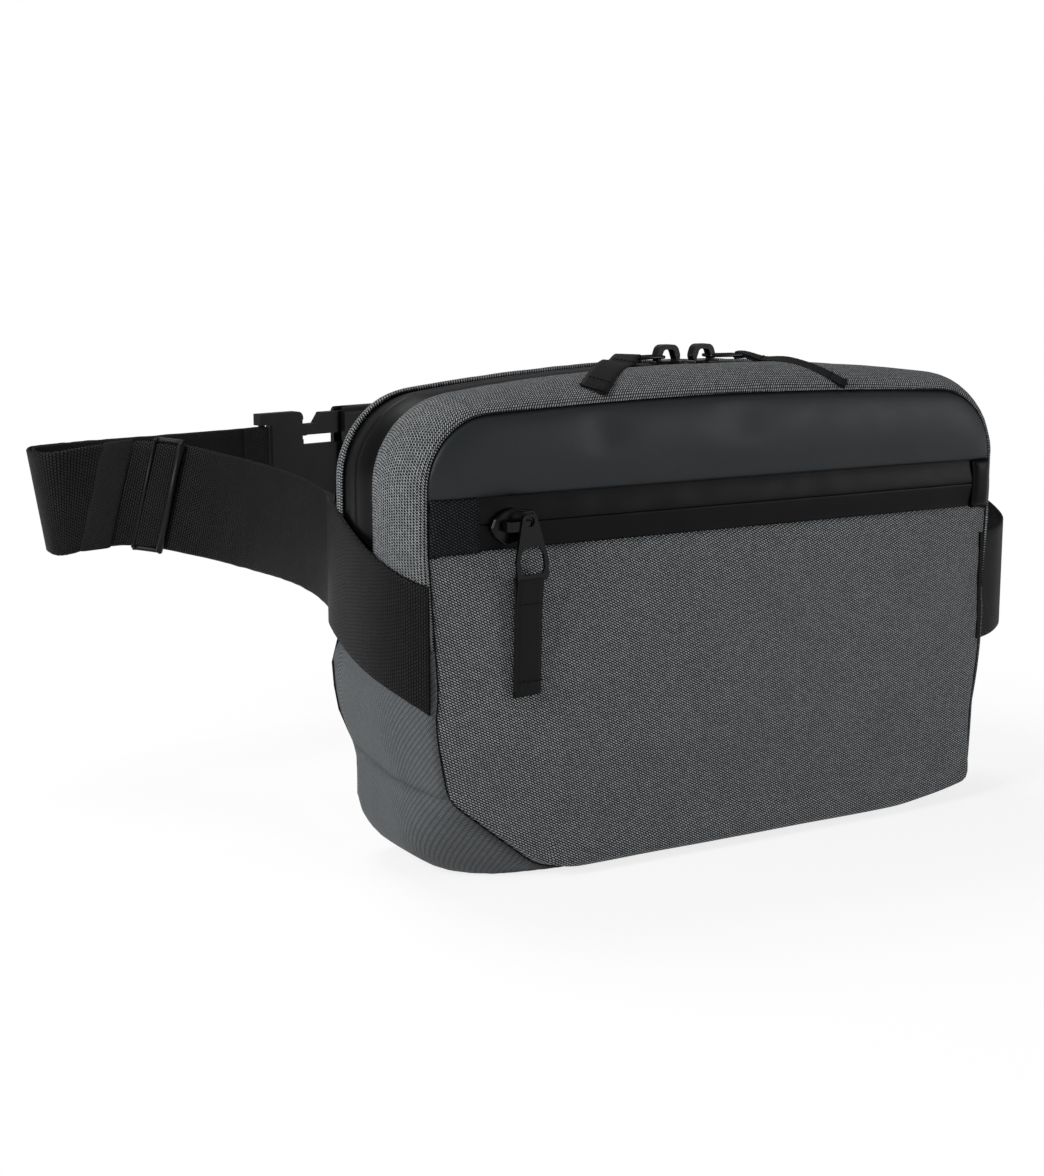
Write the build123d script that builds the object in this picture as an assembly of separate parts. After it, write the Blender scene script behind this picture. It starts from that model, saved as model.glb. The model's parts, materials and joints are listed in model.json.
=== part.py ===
from build123d import *
import math
import os

# Waist pack on a webbing belt, in millimetres.
# Origin: middle of the base, on the surface it stands on.
# +X is the wearer's right as seen from the front panel, +Y runs from the front to the back, +Z is up.

# Bag shell
CLOTH = 1.6
FRONT_SEAM_Y = -40.0
FRONT_BAND_Y = -13.0
REAR_BAND_Y = 15.5
BACK_SEAM_Y = 27.0
BACK_FACE_Y = 35.5
FOAM_FRONT_Y = 28.4
FOAM_BACK_Y = 33.9
SEAM_CORD_R = 1.3
SEAM_GAP = 0.1
PANEL_HALF = 1.0
LINING = 1.0
FOAM_EDGE = 9.0
BINDING_PROUD = 1.2
BINDING_WIDE = 4.0
WIDE = 700.0

# Outlines of the bag across its depth: half widths, heights and corner radii, in pairs from left to right.
# The front panel's lower left corner is cut well round; its lower right corner is nearly square.
FRONT_OUTLINE = dict(
    base=(131.0, 138.5), side=141.3, side_z=136.0, shoulder_z=187.5, top_z=192.0, foot=(66.0, 16.0), crown=27.0,
    base_z=1.0
)
BODY_OUTLINE = dict(
    base=(137.5, 137.5), side=150.0, side_z=130.0, shoulder_z=190.0, top_z=202.0, foot=(24.0, 24.0), crown=32.0,
    base_z=0.0
)
BACK_OUTLINE = dict(
    base=(133.0, 133.0), side=143.5, side_z=130.0, shoulder_z=186.0, top_z=196.5, foot=(24.0, 24.0), crown=32.0,
    base_z=0.4
)

# Lines on the bag's sides, as a height at the front seam and a rise per millimetre of depth
BASE_SEAM_Z = 40.0
BASE_SEAM_RISE = 0.19
BELT_Z = 99.0
BELT_RISE = 0.27

# Front pocket zip
ZIP_BAND_LOW = 136.5
ZIP_BAND_HIGH = 157.0
ZIP_CENTRE_Z = 146.8
TAPE = 0.9
COIL_WIDTH = 1.5
COIL_HEIGHT = 1.6
COIL_GAP = 1.2
POST = 0.6
TAB = 1.1
TAB_INSET = 0.5
ZIP_END_GAP = 0.4
GARAGE_TAB_LONG = 21.0
END_TAB_LONG = 9.0
FRONT_SLIDER_X = -103.5
FRONT_SLIDER_LONG = 17.0
FRONT_SLIDER_WIDE = 11.0

# Main zip over the top
MAIN_COIL_Y = 1.5
MAIN_SLIDER_LONG = 15.0
MAIN_SLIDER_WIDE = 11.0
MAIN_SLIDER_X = (-3.0, 15.5)
LINK_WIRE = 1.1
LINK_LONG = 16.0

# Belt
WEBBING_WIDE = 50.0
WEBBING = 1.5
FOLD_GAP = 2.3

os.makedirs("parts", exist_ok=True)


def save(shape, name):
    """Write one sub-part."""
    export_step(shape, "parts/" + name + ".step")


def upright(face, front, back):
    """Stand a drawing of X across and Z up on end, and give it depth from front to back."""
    return Rot(90, 0, 0) * Pos(0, 0, -back) * extrude(face, back - front)


def outline(base, side, side_z, shoulder_z, top_z, foot, crown, base_z, inset=0.0):
    """A bag outline: flat base, sides that lean out, an arched top, rounded corners."""
    corners = [(-side, shoulder_z), (-side, side_z), (-base[0], base_z)]
    corners += [(base[1], base_z), (side, side_z), (side, shoulder_z)]
    face = make_face(Polyline(*corners) + ThreePointArc((side, shoulder_z), (0, top_z), (-side, shoulder_z)))
    for side_index, radius in enumerate(foot):
        low_corners = face.vertices().group_by(Axis.Y)[0].sort_by(Axis.X)
        face = fillet(low_corners[-side_index], radius)
    face = fillet(face.vertices().group_by(Axis.Y)[-1], crown)
    if inset:
        face = offset(face, -inset)
    return face


def standing(face, depth):
    """Place a drawing of X across and Z up at one depth."""
    return Rot(90, 0, 0) * Pos(0, 0, -depth) * face


def shell(front_face, front, back_face, back):
    """A solid that changes from one outline to another between two depths."""
    return loft([standing(front_face, front), standing(back_face, back)], ruled=True)


def side_zone(low, high):
    """A block across the whole width, bounded in height by two lines of (height at the front seam, rise)."""
    corners = []
    for line, ends in ((low, (-60.0, 60.0)), (high, (60.0, -60.0))):
        corners += [(y, line[0] + line[1] * (y - FRONT_SEAM_Y)) for y in ends]
    face = make_face(Polyline(*corners, close=True))
    return Plane.YZ.offset(-WIDE / 2) * extrude(face, WIDE)


def block(x0, x1, y0, y1, z0, z1):
    """A box by its limits."""
    return Pos((x0 + x1) / 2, (y0 + y1) / 2, (z0 + z1) / 2) * Box(x1 - x0, y1 - y0, z1 - z0)


def one_side(shape, sign):
    """The left (-1) or right (+1) half of a shape."""
    return shape & Pos(sign * WIDE / 2, 0, 0) * Box(WIDE, WIDE, WIDE * 2)


# ---------------------------------------------------------------- bag shell
front_face = outline(**FRONT_OUTLINE)
body_face = outline(**BODY_OUTLINE)
back_face = outline(**BACK_OUTLINE)
front_inner = outline(**FRONT_OUTLINE, inset=CLOTH)
body_inner = outline(**BODY_OUTLINE, inset=CLOTH)
back_inner = outline(**BACK_OUTLINE, inset=CLOTH)

below_band = Pos(0, ZIP_BAND_LOW - WIDE / 2, 0) * Rectangle(WIDE, WIDE)
above_band = Pos(0, ZIP_BAND_HIGH + WIDE / 2, 0) * Rectangle(WIDE, WIDE)
front_panels = outline(**FRONT_OUTLINE, inset=2 * SEAM_CORD_R + SEAM_GAP)
panel_depths = (FRONT_SEAM_Y - PANEL_HALF, FRONT_SEAM_Y + PANEL_HALF)
save(upright(front_panels & below_band, *panel_depths), "front_lower_panel")
save(upright(front_panels & above_band, *panel_depths), "front_upper_panel")

cord_face = front_face - outline(**FRONT_OUTLINE, inset=2 * SEAM_CORD_R)
save(upright(cord_face, FRONT_SEAM_Y - 2 * SEAM_CORD_R, FRONT_SEAM_Y), "front_piping")

front_ring = shell(front_face, FRONT_SEAM_Y, body_face, FRONT_BAND_Y)
front_ring -= shell(front_inner, FRONT_SEAM_Y, body_inner, FRONT_BAND_Y)
middle_ring = upright(body_face - body_inner, FRONT_BAND_Y, REAR_BAND_Y)
rear_ring = shell(body_face, REAR_BAND_Y, back_face, BACK_SEAM_Y)
rear_ring -= shell(body_inner, REAR_BAND_Y, back_inner, BACK_SEAM_Y)

base_line = (BASE_SEAM_Z, BASE_SEAM_RISE)
belt_line = (BELT_Z, BELT_RISE)
above_belt = side_zone(belt_line, (300.0, 0.0))
under_belt = side_zone(base_line, belt_line)
base_zone = side_zone((-50.0, 0.0), base_line)

whole_ring = front_ring + middle_ring + rear_ring
save(front_ring & above_belt, "front_gusset")
save(rear_ring & above_belt, "rear_gusset")
for name, sign in (("left", -1), ("right", 1)):
    save(one_side(whole_ring & under_belt, sign), "side_panel_" + name)
save(whole_ring & base_zone, "bottom_panel")

inside_front = shell(front_inner, FRONT_SEAM_Y, body_inner, FRONT_BAND_Y)
save(upright(body_inner, FRONT_BAND_Y - LINING, FRONT_BAND_Y) & inside_front, "pocket_divider")

save(upright(back_face, BACK_SEAM_Y, FOAM_FRONT_Y), "back_lining")
foam = upright(outline(**BACK_OUTLINE, inset=FOAM_EDGE), FOAM_FRONT_Y, FOAM_BACK_Y)
save(foam, "back_foam_pad")
save(upright(back_face, FOAM_FRONT_Y, BACK_FACE_Y) - foam, "back_panel")
binding_face = outline(**BACK_OUTLINE, inset=-BINDING_PROUD) - back_face
binding = upright(binding_face, BACK_SEAM_Y, BACK_SEAM_Y + BINDING_WIDE)
save(binding & Pos(0, 0, WIDE / 2) * Box(WIDE, WIDE, WIDE), "back_binding")

# ---------------------------------------------------------------- front pocket zip
zip_ends = FRONT_OUTLINE["side"] - 2 * SEAM_CORD_R - ZIP_END_GAP
coil_low_z = ZIP_CENTRE_Z - COIL_GAP / 2 - COIL_WIDTH
coil_high_z = ZIP_CENTRE_Z + COIL_GAP / 2
zip_face_y = FRONT_SEAM_Y - PANEL_HALF
tape_back = zip_face_y + TAPE
coil_back = zip_face_y + COIL_HEIGHT
tab_front = zip_face_y - TAB
tape_heights = dict(lower=(ZIP_BAND_LOW, coil_low_z), upper=(coil_high_z + COIL_WIDTH, ZIP_BAND_HIGH))
for name, (low, high) in tape_heights.items():
    save(block(-zip_ends, zip_ends, zip_face_y, tape_back, low, high), "front_zip_tape_" + name)
for name, low in (("lower", coil_low_z), ("upper", coil_high_z)):
    save(block(-zip_ends, zip_ends, zip_face_y, coil_back, low, low + COIL_WIDTH), "front_zip_coil_" + name)
tab_ends = dict(garage=(-zip_ends, GARAGE_TAB_LONG - zip_ends), end=(zip_ends - END_TAB_LONG, zip_ends))
for name, (start, end) in tab_ends.items():
    tab = block(start, end, tab_front, zip_face_y, ZIP_BAND_LOW + TAB_INSET, ZIP_BAND_HIGH - TAB_INSET)
    save(tab, "front_zip_" + name + "_tab")


def slider_body(long, wide, clear=0.4, plate=1.7, under=1.2, channel=COIL_HEIGHT):
    """A zip slider on the XY plane with the zip's face at Z = 0: top plate, bottom plate, thin post."""
    lower = [(-long / 2, -wide * 0.3), (long * 0.18, -wide / 2), (long / 2, -wide * 0.36)]
    plan = make_face(Polyline(*lower, *[(x, -y) for x, y in reversed(lower)], close=True))
    plan = fillet(plan.vertices(), 1.6)
    top = Pos(0, 0, clear) * extrude(plan, plate)
    low = Pos(0, 0, -channel - clear - under) * extrude(offset(plan, -0.6), under)
    post = Pos(long * 0.3, 0, -channel / 2) * Box(3.0, POST, channel + 2 * clear + 0.4)
    return fillet(top.edges().group_by(Axis.Z)[-1], 0.7) + low + post


def bridge(long, high, wide, wall):
    """The arch on a slider that holds its puller, standing on Z = 0 and spanning X."""
    left = [(-long / 2, 0), (-long / 2 + high * 0.45, high)]
    outer = make_face(Polyline(*left, *[(-x, z) for x, z in reversed(left)], close=True))
    outer = fillet(outer.vertices().group_by(Axis.Y)[-1], high * 0.4)
    inner = offset(outer, -wall)
    inner = inner + Pos(0, -wall) * inner
    arch = extrude(outer - inner, wide)
    return Pos(0, wide / 2, 0) * (Rot(90, 0, 0) * arch)


to_front_zip = Pos(FRONT_SLIDER_X, zip_face_y, ZIP_CENTRE_Z) * Rot(90, 0, 0)
front_slider = slider_body(FRONT_SLIDER_LONG, FRONT_SLIDER_WIDE)

# The puller is a plate under a short knuckle, and the knuckle turns round the bridge's bar.
BRIDGE_FOOT = 2.0
BRIDGE_HIGH = 4.6
BRIDGE_WIDE = 3.4
BRIDGE_WALL = 1.2
PULLER_PIVOT_Y = zip_face_y - BRIDGE_FOOT - BRIDGE_HIGH + BRIDGE_WALL / 2
KNUCKLE_R = 2.9
KNUCKLE_BORE_R = 2.15
KNUCKLE_LONG = 5.0
PULLER_LONG = 25.0
PULLER_THICK = 1.4


def hanging(face, thick, depth):
    """A drawing of X across and Z up, as a plate of one thickness centred on a depth."""
    return upright(face, depth - thick / 2, depth + thick / 2)


def along_x(radius, long):
    """A rod along X."""
    return Rot(0, 90, 0) * Cylinder(radius, long)


PULLER_TOP_HALF = 3.6
PULLER_FOOT_HALF = 6.9
PULLER_TOP_Z = -1.5
WINDOW_WIDE = 9.6
WINDOW_HIGH = 7.8
WINDOW_UP = 6.4
BAR_OPEN = 3.0
PULLER_BAR_R = 1.0
PULLER_BAR_Z = -PULLER_LONG + 1.2

right_edge = [(PULLER_TOP_HALF, PULLER_TOP_Z), (PULLER_FOOT_HALF, -PULLER_LONG)]
left_edge = [(-x, z) for x, z in reversed(right_edge)]
puller_plan = make_face(Polyline(*right_edge, *left_edge, close=True))
puller_plan = fillet(puller_plan.vertices(), 1.2)
puller_plan -= Pos(0, WINDOW_UP - PULLER_LONG) * RectangleRounded(WINDOW_WIDE, WINDOW_HIGH, 1.0)
puller_plan -= Pos(0, BAR_OPEN / 2 - PULLER_LONG) * Rectangle(WINDOW_WIDE, BAR_OPEN)
puller = hanging(puller_plan, PULLER_THICK, 0) + along_x(KNUCKLE_R, KNUCKLE_LONG)
puller -= along_x(KNUCKLE_BORE_R, WIDE)
puller += Pos(0, 0, PULLER_BAR_Z) * along_x(PULLER_BAR_R, WINDOW_WIDE + 0.8)
puller_place = Pos(FRONT_SLIDER_X, PULLER_PIVOT_Y, ZIP_CENTRE_Z)
save(puller_place * puller, "front_zip_puller")
front_slider += Pos(0, 0, BRIDGE_FOOT) * bridge(13.0, BRIDGE_HIGH, BRIDGE_WIDE, BRIDGE_WALL)
save(to_front_zip * front_slider, "front_zip_slider")

# A ribbon folded round the puller's lower bar: a small loop, then two plies sewn together.
RIBBON_WIDE = 9.0
RIBBON_LONG = 52.0
RIBBON_PLY = 1.0
RIBBON_LOOP_R = 1.4
ribbon = along_x(RIBBON_LOOP_R + RIBBON_PLY, RIBBON_WIDE)
ribbon_plan = Pos(0, -RIBBON_LOOP_R - RIBBON_LONG / 2) * RectangleRounded(RIBBON_WIDE, RIBBON_LONG, 0.8)
ribbon = ribbon + hanging(ribbon_plan, 2 * RIBBON_PLY, 0) - along_x(RIBBON_LOOP_R, WIDE)
save(puller_place * Pos(0, 0, PULLER_BAR_Z) * ribbon, "front_zip_ribbon")

# ---------------------------------------------------------------- main zip
front_tape_back = MAIN_COIL_Y - COIL_GAP / 2 - COIL_WIDTH
rear_tape_front = MAIN_COIL_Y + COIL_GAP / 2 + COIL_WIDTH
tape_ring = body_face - outline(**BODY_OUTLINE, inset=TAPE)
coil_ring = body_face - outline(**BODY_OUTLINE, inset=COIL_HEIGHT)
save(upright(tape_ring, FRONT_BAND_Y, front_tape_back) & above_belt, "main_zip_tape_front")
save(upright(tape_ring, rear_tape_front, REAR_BAND_Y) & above_belt, "main_zip_tape_rear")
save(upright(coil_ring, front_tape_back, front_tape_back + COIL_WIDTH) & above_belt, "main_zip_coil_front")
save(upright(coil_ring, rear_tape_front - COIL_WIDTH, rear_tape_front) & above_belt, "main_zip_coil_rear")

# Each slider runs on the arch of the top, so it turns about the arch's centre.
arch_rise = BODY_OUTLINE["top_z"] - BODY_OUTLINE["shoulder_z"]
ARCH_R = (BODY_OUTLINE["side"] ** 2 + arch_rise ** 2) / (2 * arch_rise)
CROWN_LONG = 14.0
CROWN_HIGH = 6.4
CROWN_WALL = 1.4
LINK_WIDE = 9.0


def ribbon_slab(points, wide, thick):
    """A ribbon of one width along a run of (distance, height) points, laid along +X."""
    return Rot(90, 0, 0) * extrude(trace(Polyline(*points), thick), wide / 2, both=True)


def wire_link(long, wide, wire):
    """A closed wire loop lying flat, its near bar on the Y axis at the origin, running to +X."""
    frame = RectangleRounded(long + wire, wide + wire, wire * 1.2)
    frame -= RectangleRounded(long - wire, wide - wire, wire * 0.5)
    return Pos(long / 2, 0, -wire / 2) * extrude(frame, wire)


def slider_place(x, sign):
    """Where a slider sits on the arch, its nose towards the middle of the bag."""
    top_z = BODY_OUTLINE["top_z"] - ARCH_R + math.sqrt(ARCH_R ** 2 - x ** 2)
    tilt = math.degrees(math.asin(x / ARCH_R))
    facing = Rot(0, 0, 180) if sign < 0 else Rot(0, 0, 0)
    return Pos(x, MAIN_COIL_Y, top_z) * Rot(0, tilt, 0) * facing


LINK_BAR_X = CROWN_LONG / 2 - CROWN_WALL - 2.0
LINK_BAR_Z = BRIDGE_FOOT + 1.9
for name, x, sign in (("left", MAIN_SLIDER_X[0], -1), ("right", MAIN_SLIDER_X[1], 1)):
    slider = slider_body(MAIN_SLIDER_LONG, MAIN_SLIDER_WIDE)
    slider += Pos(0, 0, BRIDGE_FOOT) * bridge(CROWN_LONG, CROWN_HIGH, 3.0, CROWN_WALL)
    save(slider_place(x, sign) * slider, "main_zip_slider_" + name)
    bar = Pos(LINK_BAR_X, 0, LINK_BAR_Z)
    save(slider_place(x, sign) * bar * wire_link(LINK_LONG, LINK_WIDE, LINK_WIRE), "main_zip_link_" + name)

# The ribbon loops round each link's far bar and lies forward over the front band.
LOOP_LONG = 7.0
RIBBON_LIFT = 1.9
RIBBON_DROP = ((0.0, RIBBON_LIFT), (23.0, RIBBON_LIFT), (60.0, -10.5))
RIBBON_TURN = dict(left=-138.0, right=-64.0)
RIBBON_SHARE = dict(left=1.0, right=0.84)
for name, x, sign in (("left", MAIN_SLIDER_X[0], -1), ("right", MAIN_SLIDER_X[1], 1)):
    far_bar = slider_place(x, sign) * Pos(LINK_BAR_X + LINK_LONG, 0, LINK_BAR_Z)
    start = Pos(far_bar.position)
    slab = ribbon_slab([(d * RIBBON_SHARE[name], z) for d, z in RIBBON_DROP], RIBBON_WIDE, 2.0)
    loop_outer = Rot(90, 0, 0) * Cylinder(RIBBON_LIFT + 0.1, LOOP_LONG)
    loop_inner = Rot(90, 0, 0) * Cylinder(LINK_WIRE / 2 + 0.45, WIDE)
    beyond_bar = one_side(Rot(0, 0, RIBBON_TURN[name]) * slab, sign)
    save(start * (beyond_bar + loop_outer - loop_inner), "main_zip_ribbon_" + name)

# ---------------------------------------------------------------- belt
# The belt is worn level at the back and drops to the front seams.
BACK_BELT_Z = 132.0
BELT_HEIGHTS = ((-60.0, BELT_Z - 2), (-40.0, BELT_Z), (28.0, 119.0), (90.0, 127.0), (160.0, BACK_BELT_Z),
                (300.0, BACK_BELT_Z))


def band(plan):
    """A belt piece drawn from above, cut to the belt's height all along it."""
    low = [(y, z - WEBBING_WIDE / 2) for y, z in BELT_HEIGHTS]
    high = [(y, z + WEBBING_WIDE / 2) for y, z in reversed(BELT_HEIGHTS)]
    side_view = make_face(Polyline(*(low + high), close=True))
    return extrude(plan, 300) & Plane.YZ.offset(-WIDE / 2) * extrude(side_view, WIDE)


def strip(line):
    """The plan of a layer of webbing along a line."""
    return make_face(Wire(line.edges()).offset_2d(WEBBING / 2).edges())


def straight(start, end):
    """The plan of a straight layer of webbing."""
    run = end - start
    turn = math.degrees(math.atan2(run.Y, run.X))
    middle = (start + end) / 2
    return Pos(middle.X, middle.Y) * Rot(0, 0, turn) * Rectangle(run.length + WEBBING, WEBBING)


def unit(start, end):
    """The direction from one point of the plan to another."""
    run = Vector(*end) - Vector(*start)
    return run / run.length


def bar_loop(bar, run, side_gap, back):
    """Webbing round an upright bar: a ring, and two layers that close to side_gap apart before it."""
    across = Vector(-run.Y, run.X)
    ring_mean = BAR_R + 0.3 + WEBBING / 2
    ring = Circle(ring_mean + WEBBING / 2) - Circle(ring_mean - WEBBING / 2)
    plan = Pos(bar.X, bar.Y) * ring
    for sign in (-1, 1):
        near = bar + across * (sign * ring_mean)
        far = bar - run * back + across * (sign * side_gap / 2)
        plan += straight(near, far)
    return plan


BAR_R = 1.8
LOOP_BACK = 12.0
MALE_BAR = Vector(-78.0, 265.5)
BUCKLE_RUN = unit((-150.0, 250.5), (MALE_BAR.X, MALE_BAR.Y))
BUCKLE_ACROSS = Vector(-BUCKLE_RUN.Y, BUCKLE_RUN.X)
outer_end = MALE_BAR - BUCKLE_RUN * LOOP_BACK + BUCKLE_ACROSS * (FOLD_GAP / 2)
SLIDE_START = (-148.5, 176.5)
SLIDE_END = (-176.0, 202.3)
TURN_START = (-219.0, 214.0)
LEFT_ROUTE = [(-142.8, -40.0), (-152.5, -27.0), (-153.5, -8.0), (-151.8, 12.0), (-149.5, 28.0),
              (-145.0, 42.0), (-133.5, 62.0), (-130.5, 90.0), (-135.0, 130.0), (-141.0, 160.0), SLIDE_START, SLIDE_END,
              TURN_START, (-219.0, 235.5), (-196.0, 243.0), (-150.0, 251.6), (outer_end.X, outer_end.Y)]
LEFT_RADII = [12, 40, 60, 40, 20, 30, 60, 80, 60, 20, 16, 9, 9, 30, 60]
FOLD_FROM = 10
fold_start = Vector(*SLIDE_START) + unit(SLIDE_START, SLIDE_END) * 25.5
fold_points = [(fold_start.X, fold_start.Y)] + LEFT_ROUTE[FOLD_FROM + 1:]
fold_line = FilletPolyline(*fold_points, radius=LEFT_RADII[FOLD_FROM:])
fold_wire = fold_line.wire().offset_2d(FOLD_GAP, side=Side.RIGHT, closed=False)
left_plan = strip(FilletPolyline(*LEFT_ROUTE, radius=LEFT_RADII)) + strip(fold_wire)
left_plan += bar_loop(MALE_BAR, BUCKLE_RUN, FOLD_GAP, LOOP_BACK)
save(band(left_plan), "belt_left_webbing")

# ---------------------------------------------------------------- buckle, with its own X along the belt
BUCKLE_HALF = 32.0
CHEEK = 6.0
MALE_HALF_THICK = 3.0
PLATE_X = (4.8, 25.0)
TONGUE_HALF_HIGH = 14.0
TONGUE_HALF_THICK = 2.0
TONGUE_END = 62.0
ARM_HINGE = (26.0, 22.0)
ARM_HALF_THICK = 2.8
ARM_SHAPE = ((26.0, 19.2), (64.0, 19.2), (64.0, 24.5), (60.0, 27.5), (56.0, 27.5), (52.0, 30.6), (38.0, 30.6),
             (34.0, 25.0), (26.0, 24.8))
SOCKET_ROOM = (24.5, 30.0, 17.0, 27.5)
KNUCKLE = 3.2
KNUCKLE_GAP = 0.1
FEMALE_X = (50.0, 84.0)
FEMALE_HALF = 33.0
FEMALE_HALF_THICK = 6.5
FEMALE_WALL = 3.5
FEMALE_INSIDE_HALF = 3.5
WINDOW_X = (49.0, 55.0)
FEMALE_BAR_X = 90.0
buckle_turn = math.degrees(math.atan2(BUCKLE_RUN.Y, BUCKLE_RUN.X))
buckle_place = Pos(MALE_BAR.X, MALE_BAR.Y, BACK_BELT_Z) * Rot(0, 0, buckle_turn)


def flat_block(x0, x1, half_thick, z0, z1):
    """A box across the buckle's thickness."""
    return block(x0, x1, -half_thick, half_thick, z0, z1)


def hinge_round(radius, side, long):
    """A round across the buckle on an arm's hinge line."""
    return Pos(ARM_HINGE[0], 0, side * ARM_HINGE[1]) * Rot(90, 0, 0) * Cylinder(radius, long)


plate = flat_block(*PLATE_X, MALE_HALF_THICK, -BUCKLE_HALF, BUCKLE_HALF)
male = fillet(plate.edges().filter_by(Axis.Y), 3.5) + Cylinder(BAR_R, 2 * BUCKLE_HALF - 4)
male += flat_block(PLATE_X[1] - 1, TONGUE_END, TONGUE_HALF_THICK, -TONGUE_HALF_HIGH, TONGUE_HALF_HIGH)
room_start, room_end, room_low, room_high = SOCKET_ROOM
for side in (1, -1):
    cheek = sorted((side * BUCKLE_HALF, side * (BUCKLE_HALF - CHEEK)))
    male += flat_block(-3, PLATE_X[0] + 5, MALE_HALF_THICK, *cheek)
    room = sorted((side * room_low, side * room_high))
    male -= flat_block(room_start, room_end, FEMALE_HALF_THICK, *room)
    male -= hinge_round(KNUCKLE + KNUCKLE_GAP, side, WIDE)
save(buckle_place * male, "buckle_male")

arm = upright(make_face(Polyline(*ARM_SHAPE, close=True)), -ARM_HALF_THICK, ARM_HALF_THICK)
arm += hinge_round(KNUCKLE, 1, 2 * ARM_HALF_THICK)
save(buckle_place * arm, "buckle_arm_upper")
save(buckle_place * mirror(arm, about=Plane.XY), "buckle_arm_lower")

female_start, female_end = FEMALE_X
female = flat_block(*FEMALE_X, FEMALE_HALF_THICK, -FEMALE_HALF, FEMALE_HALF)
female = fillet(female.edges().filter_by(Axis.X), 4.0)
inside_high = FEMALE_HALF - FEMALE_WALL
female -= flat_block(female_start - 1, female_end - 4, FEMALE_INSIDE_HALF, -inside_high, inside_high)
female -= flat_block(*WINDOW_X, FEMALE_INSIDE_HALF, -WIDE, WIDE)
for side in (1, -1):
    cheek = sorted((side * FEMALE_HALF, side * (FEMALE_HALF - CHEEK - 0.8)))
    female += flat_block(female_end - 4, FEMALE_BAR_X + 2, MALE_HALF_THICK, *cheek)
female += Pos(FEMALE_BAR_X, 0, 0) * Cylinder(BAR_R, 2 * FEMALE_HALF - 6)
save(buckle_place * female, "buckle_female")

female_bar = MALE_BAR + BUCKLE_RUN * FEMALE_BAR_X
right_start = female_bar + BUCKLE_RUN * LOOP_BACK + BUCKLE_ACROSS * (FOLD_GAP / 2)
RIGHT_ROUTE = [(right_start.X, right_start.Y), (60.0, 285.0), (105.0, 266.0), (152.0, 225.0), (180.0, 160.0),
               (187.0, 85.0), (180.0, 20.0), (176.0, -10.0), (168.0, -29.0), (142.8, -40.0)]
RIGHT_RADII = [30, 40, 50, 60, 90, 90, 40, 24]
right_plan = strip(FilletPolyline(*RIGHT_ROUTE, radius=RIGHT_RADII))
right_plan += bar_loop(female_bar, BUCKLE_RUN * -1, FOLD_GAP, LOOP_BACK)
save(band(right_plan), "belt_right_webbing")

# ---------------------------------------------------------------- slide and keeper, with their own X
slide_run = unit(SLIDE_START, SLIDE_END)
slide_middle = (Vector(*SLIDE_START) + Vector(*SLIDE_END)) / 2 - slide_run * 1.5
slide_turn = math.degrees(math.atan2(slide_run.Y, slide_run.X))
SLIDE_HALF = 9.0
SLIDE_BAR = 3.2
RAIL_LOW = WEBBING_WIDE / 2 + 0.6
RAIL_HIGH = WEBBING_WIDE / 2 + 4.4
BAR_NEAR = WEBBING / 2 + 0.4
BAR_FAR = BAR_NEAR + 2.4
triglide = block(-SLIDE_HALF, SLIDE_HALF, -BAR_FAR, BAR_FAR, RAIL_LOW, RAIL_HIGH)
triglide += block(-SLIDE_HALF, SLIDE_HALF, -BAR_FAR, BAR_FAR, -RAIL_HIGH, -RAIL_LOW)
triglide += block(-SLIDE_BAR / 2, SLIDE_BAR / 2, -BAR_FAR, -BAR_NEAR, -RAIL_LOW, RAIL_LOW)
for sign in (-1, 1):
    bar_x = sign * (SLIDE_HALF - SLIDE_BAR / 2)
    triglide += block(bar_x - SLIDE_BAR / 2, bar_x + SLIDE_BAR / 2, BAR_NEAR, BAR_FAR, -RAIL_LOW, RAIL_LOW)
save(Pos(slide_middle.X, slide_middle.Y, BACK_BELT_Z) * Rot(0, 0, slide_turn) * triglide, "belt_triglide")

keeper_run = unit(SLIDE_END, TURN_START)
keeper_middle = Vector(*SLIDE_END) + keeper_run * 14.0
keeper_turn = math.degrees(math.atan2(keeper_run.Y, keeper_run.X))
KEEPER_HALF = 7.5
KEEPER_CLEAR = 0.45
KEEPER_WALL = 1.0
front_face_y = WEBBING / 2 + KEEPER_CLEAR
rear_face_y = -FOLD_GAP - WEBBING / 2 - KEEPER_CLEAR
half_high = WEBBING_WIDE / 2 + KEEPER_CLEAR
keeper = block(-KEEPER_HALF, KEEPER_HALF, rear_face_y - KEEPER_WALL, front_face_y + KEEPER_WALL,
               -half_high - KEEPER_WALL, half_high + KEEPER_WALL)
keeper -= block(-WIDE, WIDE, rear_face_y, front_face_y, -half_high, half_high)
save(Pos(keeper_middle.X, keeper_middle.Y, BACK_BELT_Z) * Rot(0, 0, keeper_turn) * keeper, "belt_keeper")
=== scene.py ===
"""Waist pack on a webbing belt: builds every cloth, zip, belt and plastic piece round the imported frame."""

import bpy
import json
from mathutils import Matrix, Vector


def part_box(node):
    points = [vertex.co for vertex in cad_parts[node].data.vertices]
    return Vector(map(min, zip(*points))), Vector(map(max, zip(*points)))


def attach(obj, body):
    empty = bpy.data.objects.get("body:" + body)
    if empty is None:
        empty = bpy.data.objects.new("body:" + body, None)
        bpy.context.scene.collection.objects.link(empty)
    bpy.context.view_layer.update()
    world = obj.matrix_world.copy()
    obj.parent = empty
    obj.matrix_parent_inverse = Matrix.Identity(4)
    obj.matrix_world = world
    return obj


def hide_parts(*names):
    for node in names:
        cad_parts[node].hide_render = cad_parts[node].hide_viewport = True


bl_info = {
    "name": "Waist pack",
    "version": (1, 0, 0),
    "blender": (4, 5, 0),
    "location": "3D View > Sidebar > Waist pack",
    "description": "Makes the cloth, zips, belt and hardware of a zipped waist pack",
    "category": "Add Mesh",
}

import json
import math

import bmesh
import bpy
from mathutils import Matrix, Vector, noise

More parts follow.
